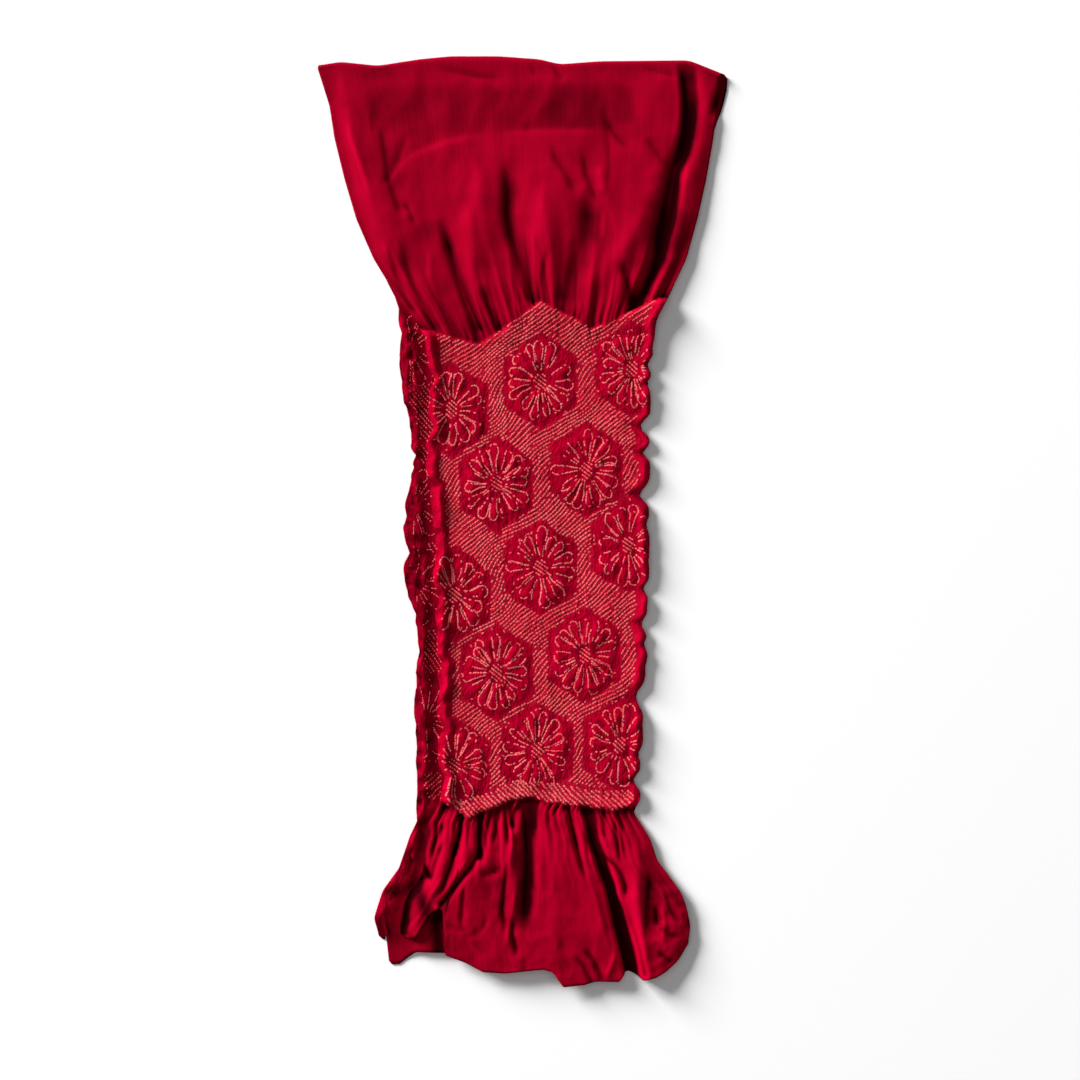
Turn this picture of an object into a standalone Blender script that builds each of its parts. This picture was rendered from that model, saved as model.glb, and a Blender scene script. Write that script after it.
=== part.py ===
"""A shibori obiage: one length of red silk, folded once across and laid flat.

The sash is folded in half at its plain middle. The fold is the top edge, the front
half lies on the back half, and the back half shows as a narrow strip on the left.
From the fold down, each half is plain silk gathered inwards, then the tied panel
with its raised hexagons, then a plain end that flares into a skirt of pleats.

Lengths in the tables are millimetres. "across" runs to the right of the centre
line and "down" runs from the top fold towards the hems.
"""

from collections import namedtuple

import bmesh
import bpy
import numpy as np

MM = 0.001

FOLDED_LENGTH = 687.0
PLAIN_THICKNESS = 1.2
PANEL_THICKNESS = 2.4
PANEL_START = 205.0
PANEL_END = 556.0
PANEL_EDGE_BLEND = 14.0

TURN_GAP = 3.8
LAYER_GAP = 1.2
TURN_GAP_REACH = 70.0

COLUMNS = 24
FRONT_ROWS = 84
BACK_ROWS = 44
TURN_ROWS = 5
STEEPEST_THICKENING = 2.2

CREASE_FADE_AT_TURN = 16.0
TOP_EDGE_REACH = 90.0
HEM_REACH = 110.0

HEXAGON_PITCH_ACROSS = 65.0
HEXAGON_PITCH_DOWN = 68.5
HEXAGON_FIRST = (14.0, 240.0)
HEXAGON_ROWS = 5
HEXAGON_COLUMNS_EACH_SIDE = 3
HEXAGON_ROW_SLANT = -0.2
HEXAGON_RADIUS = 27.0
HEXAGON_SHOULDER = 1.6
HEXAGON_RISE = 1.6

MARGIN_WIDTH = 28.0
MARGIN_DROP = 0.55

SELVEDGE_PUFF = 1.6
SELVEDGE_PUFF_WIDTH = 9.0
BACK_STRIP_RISE = 2.2
BACK_STRIP_WAVE = 29.0
BACK_STRIP_CLEARANCE = 3.0
BACK_STRIP_BLEND = 10.0
BACK_STRIP_START = 190.0
BACK_STRIP_END = 645.0
BACK_STRIP_END_BLEND = 22.0
COVER_INSET = 4.0
COVER_BLEND = 16.0
MOST_SPACE_BETWEEN_HALVES = 3.4
BACK_MOST_RISE = 3.5

SILK_RED = (0.51, 0.0, 0.012, 1.0)
SILK_ROUGHNESS = 0.42

Edge = namedtuple("Edge", "down left right")
Rim = namedtuple("Rim", "across down")
Loft = namedtuple("Loft", "down height")
Pinch = namedtuple("Pinch", "down depth half_length")
Crease = namedtuple("Crease", "path half_width height")

FRONT_EDGES = (
    Edge(0.0, -152.0, 150.0),
    Edge(7.0, -152.0, 146.0),
    Edge(37.0, -142.5, 144.0),
    Edge(61.0, -138.8, 141.0),
    Edge(91.0, -131.4, 135.8),
    Edge(121.0, -122.5, 129.1),
    Edge(150.0, -109.9, 121.0),
    Edge(167.0, -99.5, 112.9),
    Edge(180.0, -90.7, 106.9),
    Edge(195.0, -79.6, 99.0),
    Edge(210.0, -71.4, 97.0),
    Edge(239.0, -68.5, 95.5),
    Edge(298.0, -69.9, 93.5),
    Edge(372.0, -65.5, 93.5),
    Edge(431.0, -63.3, 92.0),
    Edge(476.0, -62.5, 90.0),
    Edge(550.0, -59.6, 86.5),
    Edge(558.0, -62.5, 81.0),
    Edge(566.0, -69.2, 87.0),
    Edge(579.0, -70.7, 94.7),
    Edge(594.0, -72.9, 99.5),
    Edge(609.0, -76.6, 110.6),
    Edge(618.0, -84.7, 117.3),
    Edge(628.0, -88.4, 121.0),
    Edge(642.0, -90.7, 124.0),
    Edge(661.0, -91.4, 121.7),
    Edge(690.0, -91.4, 116.0),
)

BACK_EDGES = (
    Edge(0.0, -152.0, 150.0),
    Edge(7.0, -151.0, 152.0),
    Edge(24.0, -144.0, 151.3),
    Edge(39.0, -140.5, 147.6),
    Edge(61.0, -137.0, 139.0),
    Edge(121.0, -120.5, 122.0),
    Edge(150.0, -108.5, 112.0),
    Edge(167.0, -99.5, 102.0),
    Edge(175.0, -96.6, 96.0),
    Edge(181.0, -91.4, 90.0),
    Edge(206.0, -92.0, 76.0),
    Edge(256.0, -88.4, 73.0),
    Edge(262.0, -84.0, 73.0),
    Edge(315.0, -81.8, 72.0),
    Edge(328.0, -86.2, 72.0),
    Edge(350.0, -88.0, 72.0),
    Edge(368.0, -83.2, 71.0),
    Edge(376.0, -88.4, 71.0),
    Edge(398.0, -84.7, 71.0),
    Edge(423.0, -77.3, 70.0),
    Edge(476.0, -79.6, 69.0),
    Edge(527.0, -78.0, 66.0),
    Edge(566.0, -78.1, 64.0),
    Edge(576.0, -83.2, 70.0),
    Edge(594.0, -89.2, 76.0),
    Edge(602.0, -92.1, 80.0),
    Edge(616.0, -103.2, 86.0),
    Edge(637.0, -109.9, 92.0),
    Edge(650.0, -106.2, 94.0),
    Edge(690.0, -106.2, 92.0),
)

TOP_EDGE = (
    Rim(-152.0, 6.7),
    Rim(-135.0, 4.1),
    Rim(-108.0, 7.0),
    Rim(-76.0, 2.2),
    Rim(-53.0, 0.0),
    Rim(-17.0, 0.0),
    Rim(13.0, 2.2),
    Rim(28.0, 5.9),
    Rim(57.0, 3.7),
    Rim(124.0, 3.0),
    Rim(152.0, 14.0),
)

FRONT_HEM = (
    Rim(-91.4, 648.0),
    Rim(-84.0, 651.5),
    Rim(-79.5, 651.0),
    Rim(-72.0, 636.0),
    Rim(-64.0, 628.0),
    Rim(-59.0, 640.0),
    Rim(-57.5, 663.0),
    Rim(-42.0, 669.0),
    Rim(-28.0, 676.0),
    Rim(-12.0, 677.0),
    Rim(17.0, 674.0),
    Rim(33.0, 687.0),
    Rim(49.0, 685.5),
    Rim(75.0, 683.5),
    Rim(79.0, 675.0),
    Rim(86.0, 678.0),
    Rim(93.0, 682.3),
    Rim(102.0, 680.0),
    Rim(109.0, 675.6),
    Rim(116.0, 668.0),
    Rim(121.7, 655.0),
)

BACK_HEM = (
    Rim(-106.2, 650.0),
    Rim(-93.0, 653.0),
    Rim(-88.5, 668.0),
    Rim(-82.0, 671.5),
    Rim(-70.0, 671.0),
    Rim(-50.0, 662.0),
    Rim(60.0, 664.0),
    Rim(94.0, 640.0),
)

# How high the front half stands above the back half between its creases
FRONT_LOFT = (
    Loft(0.0, 0.0),
    Loft(30.0, 2.5),
    Loft(90.0, 4.5),
    Loft(165.0, 6.5),
    Loft(205.0, 3.5),
    Loft(230.0, 1.0),
    Loft(530.0, 1.0),
    Loft(556.0, 3.0),
    Loft(590.0, 6.0),
    Loft(640.0, 6.5),
    Loft(690.0, 5.0),
)

RIGHT_PINCHES = (
    Pinch(228.0, 4.0, 5.0),
    Pinch(242.0, 3.0, 4.0),
    Pinch(274.0, 7.5, 6.0),
    Pinch(293.0, 4.5, 4.0),
    Pinch(324.0, 7.0, 6.0),
    Pinch(346.0, 2.5, 5.0),
    Pinch(393.0, 4.0, 5.0),
    Pinch(419.0, 4.5, 6.0),
    Pinch(435.0, 2.5, 4.0),
    Pinch(474.0, 6.5, 9.0),
    Pinch(516.0, 3.0, 6.0),
    Pinch(535.0, 5.5, 6.0),
)

LEFT_PINCHES = (
    Pinch(238.0, 2.5, 6.0),
    Pinch(274.0, 3.0, 6.0),
    Pinch(316.0, 2.5, 6.0),
    Pinch(352.0, 3.0, 6.0),
    Pinch(398.0, 2.5, 6.0),
    Pinch(446.0, 2.0, 6.0),
    Pinch(498.0, 3.0, 6.0),
    Pinch(532.0, 2.0, 5.0),
)

BACK_PINCHES = (
    Pinch(206.0, 3.0, 6.0),
    Pinch(281.0, 3.5, 4.0),
    Pinch(296.0, 4.0, 4.0),
    Pinch(304.0, 2.5, 3.0),
    Pinch(340.0, 2.0, 5.0),
    Pinch(412.0, 2.5, 4.0),
    Pinch(441.0, 3.0, 5.0),
    Pinch(462.0, 3.0, 4.0),
    Pinch(507.0, 2.0, 5.0),
    Pinch(543.0, 2.0, 4.0),
)

# Each crease is a line of points (across, down) with a ridge or a trough along it
FRONT_CREASES = (
    Crease(((124, 12), (125, 45), (117, 85), (108, 130), (104, 160), (88, 184)), 7.5, -9.0),
    Crease(((110, 40), (104, 85), (96, 130), (91, 158)), 8.0, 2.0),
    Crease(((-12, 55), (-11, 120), (-5, 150), (6, 184)), 9.0, -4.5),
    Crease(((57, 95), (50, 117), (42, 143), (33, 173)), 8.0, -4.0),
    Crease(((22, 72), (36, 95), (43, 110)), 8.0, -2.0),
    Crease(((-131, 36), (-120, 84), (-96, 158)), 6.0, 2.0),
    Crease(((-102, 80), (-91, 110), (-77, 187)), 7.0, -4.0),
    Crease(((-57, 128), (-46, 165), (-40, 198)), 7.0, -4.0),
    Crease(((-98, 84), (-87, 73), (-54, 63), (-17, 54)), 8.0, 1.8),
    Crease(((13, 90), (17, 135), (17, 176)), 9.0, 2.0),
    Crease(((72, 110), (68, 150), (62, 178)), 6.0, -3.0),
    Crease(((24, 283), (28, 328), (35, 372), (31, 417)), 12.0, -0.9),
    Crease(((46, 556), (55, 594), (68, 639), (78, 690)), 6.5, -11.0),
    Crease(((37, 561), (43, 587), (48, 611)), 5.0, -4.0),
    Crease(((6, 575), (7, 625), (7, 668)), 9.0, -4.5),
    Crease(((27, 570), (28, 625), (30, 690)), 10.0, 1.5),
    Crease(((-46, 557), (-50, 587)), 5.0, -4.0),
    Crease(((-31, 556), (-33, 587)), 5.0, -4.0),
    Crease(((-14, 558), (-17, 590)), 5.0, -4.0),
    Crease(((-31, 590), (-61, 624), (-70, 640)), 6.0, -5.0),
    Crease(((-60, 610), (-84, 648)), 5.0, 2.5),
    Crease(((-66, 628), (-66, 640)), 8.0, 2.5),
    Crease(((-11, 602), (-14, 624), (-8, 661)), 6.0, -2.5),
    Crease(((72, 565), (76, 602), (87, 668)), 5.0, -3.5),
    Crease(((90, 587), (91, 668)), 8.0, 1.5),
    Crease(((99, 600), (97, 655)), 6.0, -3.0),
)


def soft_step(value):
    """0 below 0, 1 above 1, and a smooth rise between."""
    value = np.clip(value, 0.0, 1.0)
    return value * value * (3.0 - 2.0 * value)


def read_edge(table, down, side):
    """The position across of one side of a half at a distance down."""
    downs = [row.down for row in table]
    return np.interp(down, downs, [getattr(row, side) for row in table])


def read_rim(table, across):
    """How far down the top fold or a hem lies at a place across."""
    return np.interp(across, [row.across for row in table], [row.down for row in table])


def pinched(down, pinches):
    """How far a gathered selvedge is drawn in at a distance down."""
    drawn = np.zeros_like(down)
    for pinch in pinches:
        drawn += pinch.depth * np.exp(-(((down - pinch.down) / pinch.half_length) ** 2))
    return drawn


def in_panel(down):
    """1 on the tied panel and 0 on the plain silk."""
    start = soft_step((down - PANEL_START) / PANEL_EDGE_BLEND + 0.5)
    end = soft_step((PANEL_END - down) / PANEL_EDGE_BLEND + 0.5)
    return start * end


def thickness(down):
    """The sheet's thickness: the tied panel is thicker, because it is puckered."""
    return PLAIN_THICKNESS + (PANEL_THICKNESS - PLAIN_THICKNESS) * in_panel(down)


def layer_gap(down):
    """The space between the halves, widest inside the turn."""
    closing = soft_step(down / TURN_GAP_REACH)
    return TURN_GAP + (LAYER_GAP - TURN_GAP) * closing


def crease_height(crease, across, down):
    """The height that one crease adds at each point."""
    nearest = np.full_like(across, np.inf)
    for (x0, y0), (x1, y1) in zip(crease.path, crease.path[1:]):
        run = np.array((x1 - x0, y1 - y0), float)
        along = ((across - x0) * run[0] + (down - y0) * run[1]) / (run @ run)
        along = np.clip(along, 0.0, 1.0)
        gap = np.hypot(across - x0 - along * run[0], down - y0 - along * run[1])
        nearest = np.minimum(nearest, gap)
    return crease.height * np.exp(-((nearest / crease.half_width) ** 2))


def hexagon_height(across, down):
    """The raised hexagons of the tied panel, in staggered rows."""
    height = np.zeros_like(across)
    first_across, first_down = HEXAGON_FIRST
    half_across = HEXAGON_PITCH_ACROSS / 2.0
    for row in range(HEXAGON_ROWS):
        for column in range(-HEXAGON_COLUMNS_EACH_SIDE, HEXAGON_COLUMNS_EACH_SIDE + 1):
            if (row + column) % 2:
                continue
            centre_across = first_across + column * half_across
            centre_down = first_down + row * HEXAGON_PITCH_DOWN
            centre_down += HEXAGON_ROW_SLANT * (centre_across - first_across)
            far = np.hypot(across - centre_across, down - centre_down) / HEXAGON_RADIUS
            height += HEXAGON_RISE * soft_step(HEXAGON_SHOULDER * (1.0 - far))
    return height * in_panel(down)


def front_rise(across, down, left, right):
    """How far the front half stands above its lowest place."""
    height = np.interp(down, [row.down for row in FRONT_LOFT], [row.height for row in FRONT_LOFT])
    to_edge = np.minimum(across - left, right - across)
    plain = 1.0 - in_panel(down)
    height *= 1.0 - plain * MARGIN_DROP * (1.0 - soft_step(to_edge / MARGIN_WIDTH))
    for crease in FRONT_CREASES:
        height += crease_height(crease, across, down)
    height += hexagon_height(across, down)
    puff = np.exp(-(((to_edge - SELVEDGE_PUFF_WIDTH / 2.0) / SELVEDGE_PUFF_WIDTH) ** 2))
    height += SELVEDGE_PUFF * puff * in_panel(down)
    return np.maximum(height, 0.0) * soft_step(down / CREASE_FADE_AT_TURN)


def back_rise(across, down):
    """How far the back half is lifted: in the strip that shows, and under tall folds."""
    cover_left = read_edge(FRONT_EDGES, down, "left")
    cover_right = read_edge(FRONT_EDGES, down, "right")
    shown = soft_step((cover_left - BACK_STRIP_CLEARANCE - across) / BACK_STRIP_BLEND)
    shown *= soft_step((down - BACK_STRIP_START) / BACK_STRIP_END_BLEND)
    shown *= soft_step((BACK_STRIP_END - down) / BACK_STRIP_END_BLEND)
    wave = 0.5 + 0.5 * np.sin(2.0 * np.pi * down / BACK_STRIP_WAVE)
    to_cover_edge = np.minimum(across - cover_left, cover_right - across)
    covered = soft_step((to_cover_edge - COVER_INSET) / COVER_BLEND)
    above = front_rise(across, down, cover_left, cover_right)
    lifted = np.clip(above - MOST_SPACE_BETWEEN_HALVES, 0.0, BACK_MOST_RISE)
    return BACK_STRIP_RISE * shown * wave + lifted * covered


def plan_of_half(rows, edges, hem, pinches_left, pinches_right, turn_radius):
    """The plan of one half: across, down, and its two sides, at each row, hem last."""
    u = np.linspace(0.0, 1.0, COLUMNS + 1)[None, :]
    v = np.linspace(0.0, 1.0, rows + 1)[:, None]
    top_across = edges[0].left + (edges[0].right - edges[0].left) * u
    hem_across = hem[0].across + (hem[-1].across - hem[0].across) * u
    top = read_rim(TOP_EDGE, top_across) + turn_radius
    low = read_rim(hem, hem_across)
    level_top, level_low = float(top.mean()), float(low.mean())
    down = level_top + (level_low - level_top) * v
    near_top = soft_step(1.0 - (down - level_top) / TOP_EDGE_REACH)
    near_hem = soft_step(1.0 - (level_low - down) / HEM_REACH)
    down = down + (top - level_top) * near_top + (low - level_low) * near_hem
    left = read_edge(edges, down, "left") + pinched(down, pinches_left)
    right = read_edge(edges, down, "right") - pinched(down, pinches_right)
    return left + (right - left) * u, down, left, right


def thickened(across, down, under, sheet):
    """The top of a layer whose underside is given, at its true thickness on slopes."""
    points = np.stack((across, -down, under), axis=-1)
    normal = np.cross(np.gradient(points, axis=1), np.gradient(points, axis=0))
    steepness = np.linalg.norm(normal, axis=-1) / np.maximum(np.abs(normal[..., 2]), 1e-9)
    steepness[0] = 1.0
    return under + sheet * np.minimum(steepness, STEEPEST_THICKENING)


def cloth_surfaces():
    """The outer and inner faces of the folded sheet, row by row from hem to hem."""
    turn_outer = (2.0 * PLAIN_THICKNESS + TURN_GAP) / 2.0

    back = plan_of_half(BACK_ROWS, BACK_EDGES, BACK_HEM, BACK_PINCHES, (), turn_outer)
    back_across, back_down = back[0], back[1]
    back_under = back_rise(back_across, back_down)
    back_top = thickened(back_across, back_down, back_under, thickness(back_down))

    front = plan_of_half(
        FRONT_ROWS, FRONT_EDGES, FRONT_HEM, LEFT_PINCHES, RIGHT_PINCHES, turn_outer
    )
    front_across, front_down, front_left, front_right = front
    front_under = thickness(front_down) + layer_gap(front_down)
    front_under = front_under + front_rise(front_across, front_down, front_left, front_right)
    front_top = thickened(front_across, front_down, front_under, thickness(front_down))

    outer, inner = [], []
    for row in range(BACK_ROWS, -1, -1):
        outer.append(np.stack((back_across[row], back_down[row], back_under[row]), axis=-1))
        inner.append(np.stack((back_across[row], back_down[row], back_top[row]), axis=-1))
    for step in range(1, TURN_ROWS + 1):
        angle = np.pi * step / (TURN_ROWS + 1)
        for rows, radius in ((outer, turn_outer), (inner, turn_outer - PLAIN_THICKNESS)):
            across = back_across[0] + (front_across[0] - back_across[0]) * angle / np.pi
            down = back_down[0] - radius * np.sin(angle)
            height = np.full_like(across, turn_outer - radius * np.cos(angle))
            rows.append(np.stack((across, down, height), axis=-1))
    for row in range(FRONT_ROWS + 1):
        outer.append(np.stack((front_across[row], front_down[row], front_top[row]), axis=-1))
        inner.append(np.stack((front_across[row], front_down[row], front_under[row]), axis=-1))
    return np.array(outer), np.array(inner)


def placed(points, middle_across, middle_down):
    """Table millimetres to metres about the middle of the outline."""
    across = (points[..., 0] - middle_across) * MM
    upward = (middle_down - points[..., 1]) * MM
    return np.stack((across, upward, points[..., 2] * MM), axis=-1)


def build_cloth(material):
    """Makes the sash: a grid bent to the outer face, then extruded to the inner one."""
    outer, inner = cloth_surfaces()
    every = np.concatenate((outer.reshape(-1, 3), inner.reshape(-1, 3)))
    middle = (every.min(axis=0) + every.max(axis=0)) / 2.0
    outer = placed(outer, middle[0], middle[1])
    inner = placed(inner, middle[0], middle[1])

    rows, columns = outer.shape[0], outer.shape[1]
    bm = bmesh.new()
    row_of = bm.verts.layers.int.new("row")
    column_of = bm.verts.layers.int.new("column")
    grid = [[bm.verts.new(outer[row, column]) for column in range(columns)] for row in range(rows)]
    for row in range(rows):
        for column in range(columns):
            grid[row][column][row_of] = row
            grid[row][column][column_of] = column
    for row in range(rows - 1):
        for column in range(columns - 1):
            corners = (
                grid[row][column],
                grid[row][column + 1],
                grid[row + 1][column + 1],
                grid[row + 1][column],
            )
            bm.faces.new(corners)

    extruded = bmesh.ops.extrude_face_region(bm, geom=bm.faces[:], use_keep_orig=True)
    for element in extruded["geom"]:
        if isinstance(element, bmesh.types.BMVert):
            element.co = inner[element[row_of], element[column_of]]
    bmesh.ops.recalc_face_normals(bm, faces=bm.faces[:])
    bmesh.ops.triangulate(bm, faces=bm.faces[:])

    mesh = bpy.data.meshes.new("sash_cloth")
    bm.to_mesh(mesh)
    bm.free()
    mesh.materials.append(material)
    mesh.shade_smooth()
    cloth = bpy.data.objects.new("sash_cloth", mesh)
    bpy.context.collection.objects.link(cloth)
    return cloth


def silk_material():
    """Plain red silk."""
    material = bpy.data.materials.new("red_silk")
    material.use_nodes = True
    shader = material.node_tree.nodes["Principled BSDF"]
    shader.inputs["Base Color"].default_value = SILK_RED
    shader.inputs["Roughness"].default_value = SILK_ROUGHNESS
    shader.inputs["Metallic"].default_value = 0.0
    return material


def main():
    """Empties the scene and builds the sash."""
    for existing in list(bpy.data.objects):
        bpy.data.objects.remove(existing, do_unlink=True)
    build_cloth(silk_material())


main()
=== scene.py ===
"""The looks of a shibori obiage: red silk with tied dots, folded once and laid flat.

Lengths in the tables are millimetres as the sash lies: "across" runs to the right of
the centre line and "down" runs from the top fold towards the hems.
"""

import logging
import math
from dataclasses import dataclass, field
from enum import Enum
from typing import Callable, NamedTuple

import bpy
import numpy as np
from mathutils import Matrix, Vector
from mathutils.bvhtree import BVHTree


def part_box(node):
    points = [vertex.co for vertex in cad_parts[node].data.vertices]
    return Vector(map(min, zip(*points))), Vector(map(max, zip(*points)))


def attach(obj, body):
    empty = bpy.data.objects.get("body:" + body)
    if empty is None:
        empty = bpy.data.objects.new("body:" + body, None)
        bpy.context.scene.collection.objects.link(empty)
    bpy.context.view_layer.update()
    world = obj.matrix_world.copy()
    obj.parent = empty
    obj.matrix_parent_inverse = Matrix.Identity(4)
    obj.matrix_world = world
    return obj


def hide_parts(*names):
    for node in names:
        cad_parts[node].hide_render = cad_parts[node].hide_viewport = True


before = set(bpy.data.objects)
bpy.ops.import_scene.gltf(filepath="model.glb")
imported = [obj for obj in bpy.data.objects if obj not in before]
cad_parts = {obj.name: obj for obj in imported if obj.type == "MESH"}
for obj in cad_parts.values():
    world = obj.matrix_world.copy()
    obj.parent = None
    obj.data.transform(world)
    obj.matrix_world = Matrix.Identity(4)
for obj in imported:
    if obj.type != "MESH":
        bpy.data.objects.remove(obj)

MM = 0.001
MIDDLE_ACROSS = 0.25
FLOWER_STRETCH = 1.2
CREPE_HEIGHT = 0.14
STREAK_HEIGHT = 0.07
LOG = logging.getLogger("sash")
Array = np.ndarray


class Fade(Enum):
    """Where a crease dies out along its line."""

    NONE = (False, False)
    START = (True, False)
    END = (False, True)
    BOTH = (True, True)


NONE, START, END, BOTH = Fade


class Half(Enum):
    """The two halves of the folded sash."""

    FRONT = "front"
    BACK = "back"


class Edge(NamedTuple):
    """The two sides of a half at a distance down."""

    down: float
    left: float
    right: float


class Rim(NamedTuple):
    """How far down a hem, fold or border lies at a place across."""

    across: float
    down: float


class Loft(NamedTuple):
    """How high the cloth stands, between creases, at a distance down."""

    down: float
    height: float


class Pinch(NamedTuple):
    """A place where the tying draws a selvedge in."""

    down: float
    depth: float
    half_length: float


class Crease(NamedTuple):
    """A ridge, or a trough where height is negative, along a line of points."""

    path: tuple
    left_width: float
    right_width: float
    height: float
    fade: Fade = Fade.BOTH
    sharpness: float = 2.0


class Pleat(NamedTuple):
    """A small gather that runs from the tied panel into the plain silk."""

    above: bool
    place: float
    width: float
    reach: float
    height: float
    lean: float


class Medallion(NamedTuple):
    """One hexagon with its flower: its centre, turn in degrees and petal count."""

    across: float
    down: float
    turn: float
    petals: int


def rows_of(kind: Callable, *rows: tuple) -> tuple:
    """Makes a table, each row of one kind."""
    return tuple(kind(*row) for row in rows)


def wrinkle(
    path: tuple,
    left_width: float,
    right_width: float,
    height: float,
    fade: Fade = Fade.BOTH,
    sharpness: float = 1.5,
) -> Crease:
    """Makes a crease with the sharper top of a fine wrinkle."""
    return Crease(path, left_width, right_width, height, fade, sharpness)


def soft_step(value: Array) -> Array:
    """Returns 0 below 0, 1 above 1, and a smooth rise between."""
    value = np.clip(value, 0.0, 1.0)
    return value * value * (3.0 - 2.0 * value)


def smooth_reader(places: list, values: list, reach: float) -> Callable[[Array], Array]:
    """Makes a curve through a table with its corners rounded.

    Args:
        places: where the table's rows lie.
        values: what the rows say there.
        reach: how far each corner is rounded.

    Returns:
        A function that reads the curve at any places.
    """
    step = 0.5
    fine = np.arange(places[0] - 6 * reach, places[-1] + 6 * reach, step)
    rough = np.interp(fine, places, values)
    half = int(math.ceil(3 * reach / step))
    weights = np.exp(-((np.arange(-half, half + 1) * step / reach) ** 2))
    padded = np.pad(rough, half, mode="edge")
    curve = np.convolve(padded, weights / weights.sum(), mode="valid")
    return lambda at: np.interp(at, fine, curve)


class Noise:
    """Smooth random relief from a seeded grid of values."""

    def __init__(self, seed: int, size: int = 64) -> None:
        """Fills the grid with values from -1 to 1."""
        self.size = size
        self.grid = np.random.default_rng(seed).uniform(-1.0, 1.0, (size, size))

    def at(self, a: Array, b: Array) -> Array:
        """Reads the relief.

        Args:
            a: places along the first direction, in cells.
            b: places along the second direction, in cells.

        Returns:
            Values from -1 to 1.
        """
        a, b = np.broadcast_arrays(np.asarray(a, float), np.asarray(b, float))
        low_a, low_b = np.floor(a).astype(int), np.floor(b).astype(int)
        part_a, part_b = soft_step(a - low_a), soft_step(b - low_b)
        i, j = low_a % self.size, low_b % self.size
        i_next, j_next = (i + 1) % self.size, (j + 1) % self.size
        near = self.grid[i, j] * (1 - part_a) + self.grid[i_next, j] * part_a
        far = self.grid[i, j_next] * (1 - part_a) + self.grid[i_next, j_next] * part_a
        return near * (1 - part_b) + far * part_b

    def layered(self, a: Array, b: Array, layers: int = 3) -> Array:
        """Sums finer and fainter layers of the relief.

        Args:
            a: places along the first direction, in cells.
            b: places along the second direction, in cells.
            layers: how many layers are summed.

        Returns:
            The sums.
        """
        total = np.zeros(np.broadcast(a, b).shape)
        for layer in range(layers):
            scale = 2.0**layer
            total += self.at(a * scale + 17.3 * layer, b * scale + 5.1 * layer) / scale
        return total


# The outlines of the two halves, how high the cloth stands and where the tying draws it in
FRONT_EDGES = rows_of(
    Edge,
    (0, -152, 150), (7, -152, 146), (37, -142.5, 144), (61, -138.8, 141), (91, -131.4, 135.8),
    (121, -122.5, 129.1), (150, -109.9, 121), (167, -99.5, 112.9), (180, -90.7, 106.9),
    (195, -79.6, 99), (210, -71.4, 97), (239, -68.5, 95.5), (298, -69.9, 93.5), (372, -65.5, 93.5),
    (431, -63.3, 92), (476, -62.5, 90), (550, -59.6, 86.5), (558, -62.5, 81), (566, -69.2, 87),
    (579, -70.7, 94.7), (594, -72.9, 99.5), (609, -76.6, 110.6), (618, -84.7, 117.3),
    (628, -88.4, 121), (642, -90.7, 124), (661, -91.4, 121.7), (690, -91.4, 116),
)

BACK_EDGES = rows_of(
    Edge,
    (0, -152, 150), (7, -151, 152), (24, -144, 151.3), (39, -140.5, 147.6), (61, -137, 139),
    (121, -120.5, 122), (150, -108.5, 112), (167, -99.5, 102), (175, -96.6, 96), (181, -91.4, 90),
    (206, -92, 76), (256, -88.4, 73), (262, -84, 73), (315, -81.8, 72), (328, -86.2, 72),
    (350, -88, 72), (368, -83.2, 71), (376, -88.4, 71), (398, -84.7, 71), (423, -77.3, 70),
    (476, -79.6, 69), (527, -78, 66), (566, -78.1, 64), (576, -83.2, 70), (594, -89.2, 76),
    (602, -92.1, 80), (616, -103.2, 86), (637, -109.9, 92), (650, -106.2, 94), (690, -106.2, 92),
)

TOP_EDGE = rows_of(
    Rim,
    (-152, 6.7), (-135, 4.1), (-108, 7), (-76, 2.2), (-53, 0), (-17, 0), (13, 2.2), (28, 5.9),
    (57, 3.7), (124, 3), (152, 14),
)

FRONT_HEM = rows_of(
    Rim,
    (-91.4, 648), (-84, 651.5), (-79.5, 651), (-72, 636), (-64, 628), (-59.5, 632), (-58, 663),
    (-42, 669), (-28, 676), (-12, 677), (17, 674), (24, 676), (33, 687), (49, 685.5), (58, 683),
    (75, 683.5), (77, 680), (79, 675), (86, 678), (93, 682.3), (102, 680), (109, 675.6), (116, 668),
    (121.7, 655),
)

BACK_HEM = rows_of(
    Rim,
    (-106.2, 650), (-98, 653), (-93, 653), (-91.5, 649), (-89.5, 649), (-88.5, 668), (-82, 671.5),
    (-70, 671), (-50, 662), (60, 664), (94, 640),
)

FRONT_LOFT = rows_of(
    Loft,
    (0, 1), (12, 4), (30, 5), (60, 5.5), (90, 6.5), (130, 7.5), (168, 8), (195, 5.5), (215, 1.6),
    (230, 1), (530, 1), (548, 1.5), (560, 5), (590, 8), (640, 8), (690, 6.5),
)

RIGHT_PINCHES = rows_of(
    Pinch,
    (228, 4, 5), (242, 3, 4), (274, 7.5, 6), (293, 4.5, 4), (324, 7, 6), (346, 2.5, 5), (393, 4, 5),
    (419, 4.5, 6), (435, 2.5, 4), (474, 6.5, 9), (516, 3, 6), (535, 5.5, 6),
)

LEFT_PINCHES = rows_of(
    Pinch,
    (238, 2.5, 6), (274, 3, 6), (316, 2.5, 6), (352, 3, 6), (398, 2.5, 6), (446, 2, 6), (498, 3, 6),
    (532, 2, 5),
)

BACK_PINCHES = rows_of(
    Pinch,
    (206, 3, 6), (281, 3.5, 4), (296, 4, 4), (304, 2.5, 3), (340, 2, 5), (412, 2.5, 4), (441, 3, 5),
    (462, 3, 4), (507, 2, 5), (543, 2, 4),
)

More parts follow.
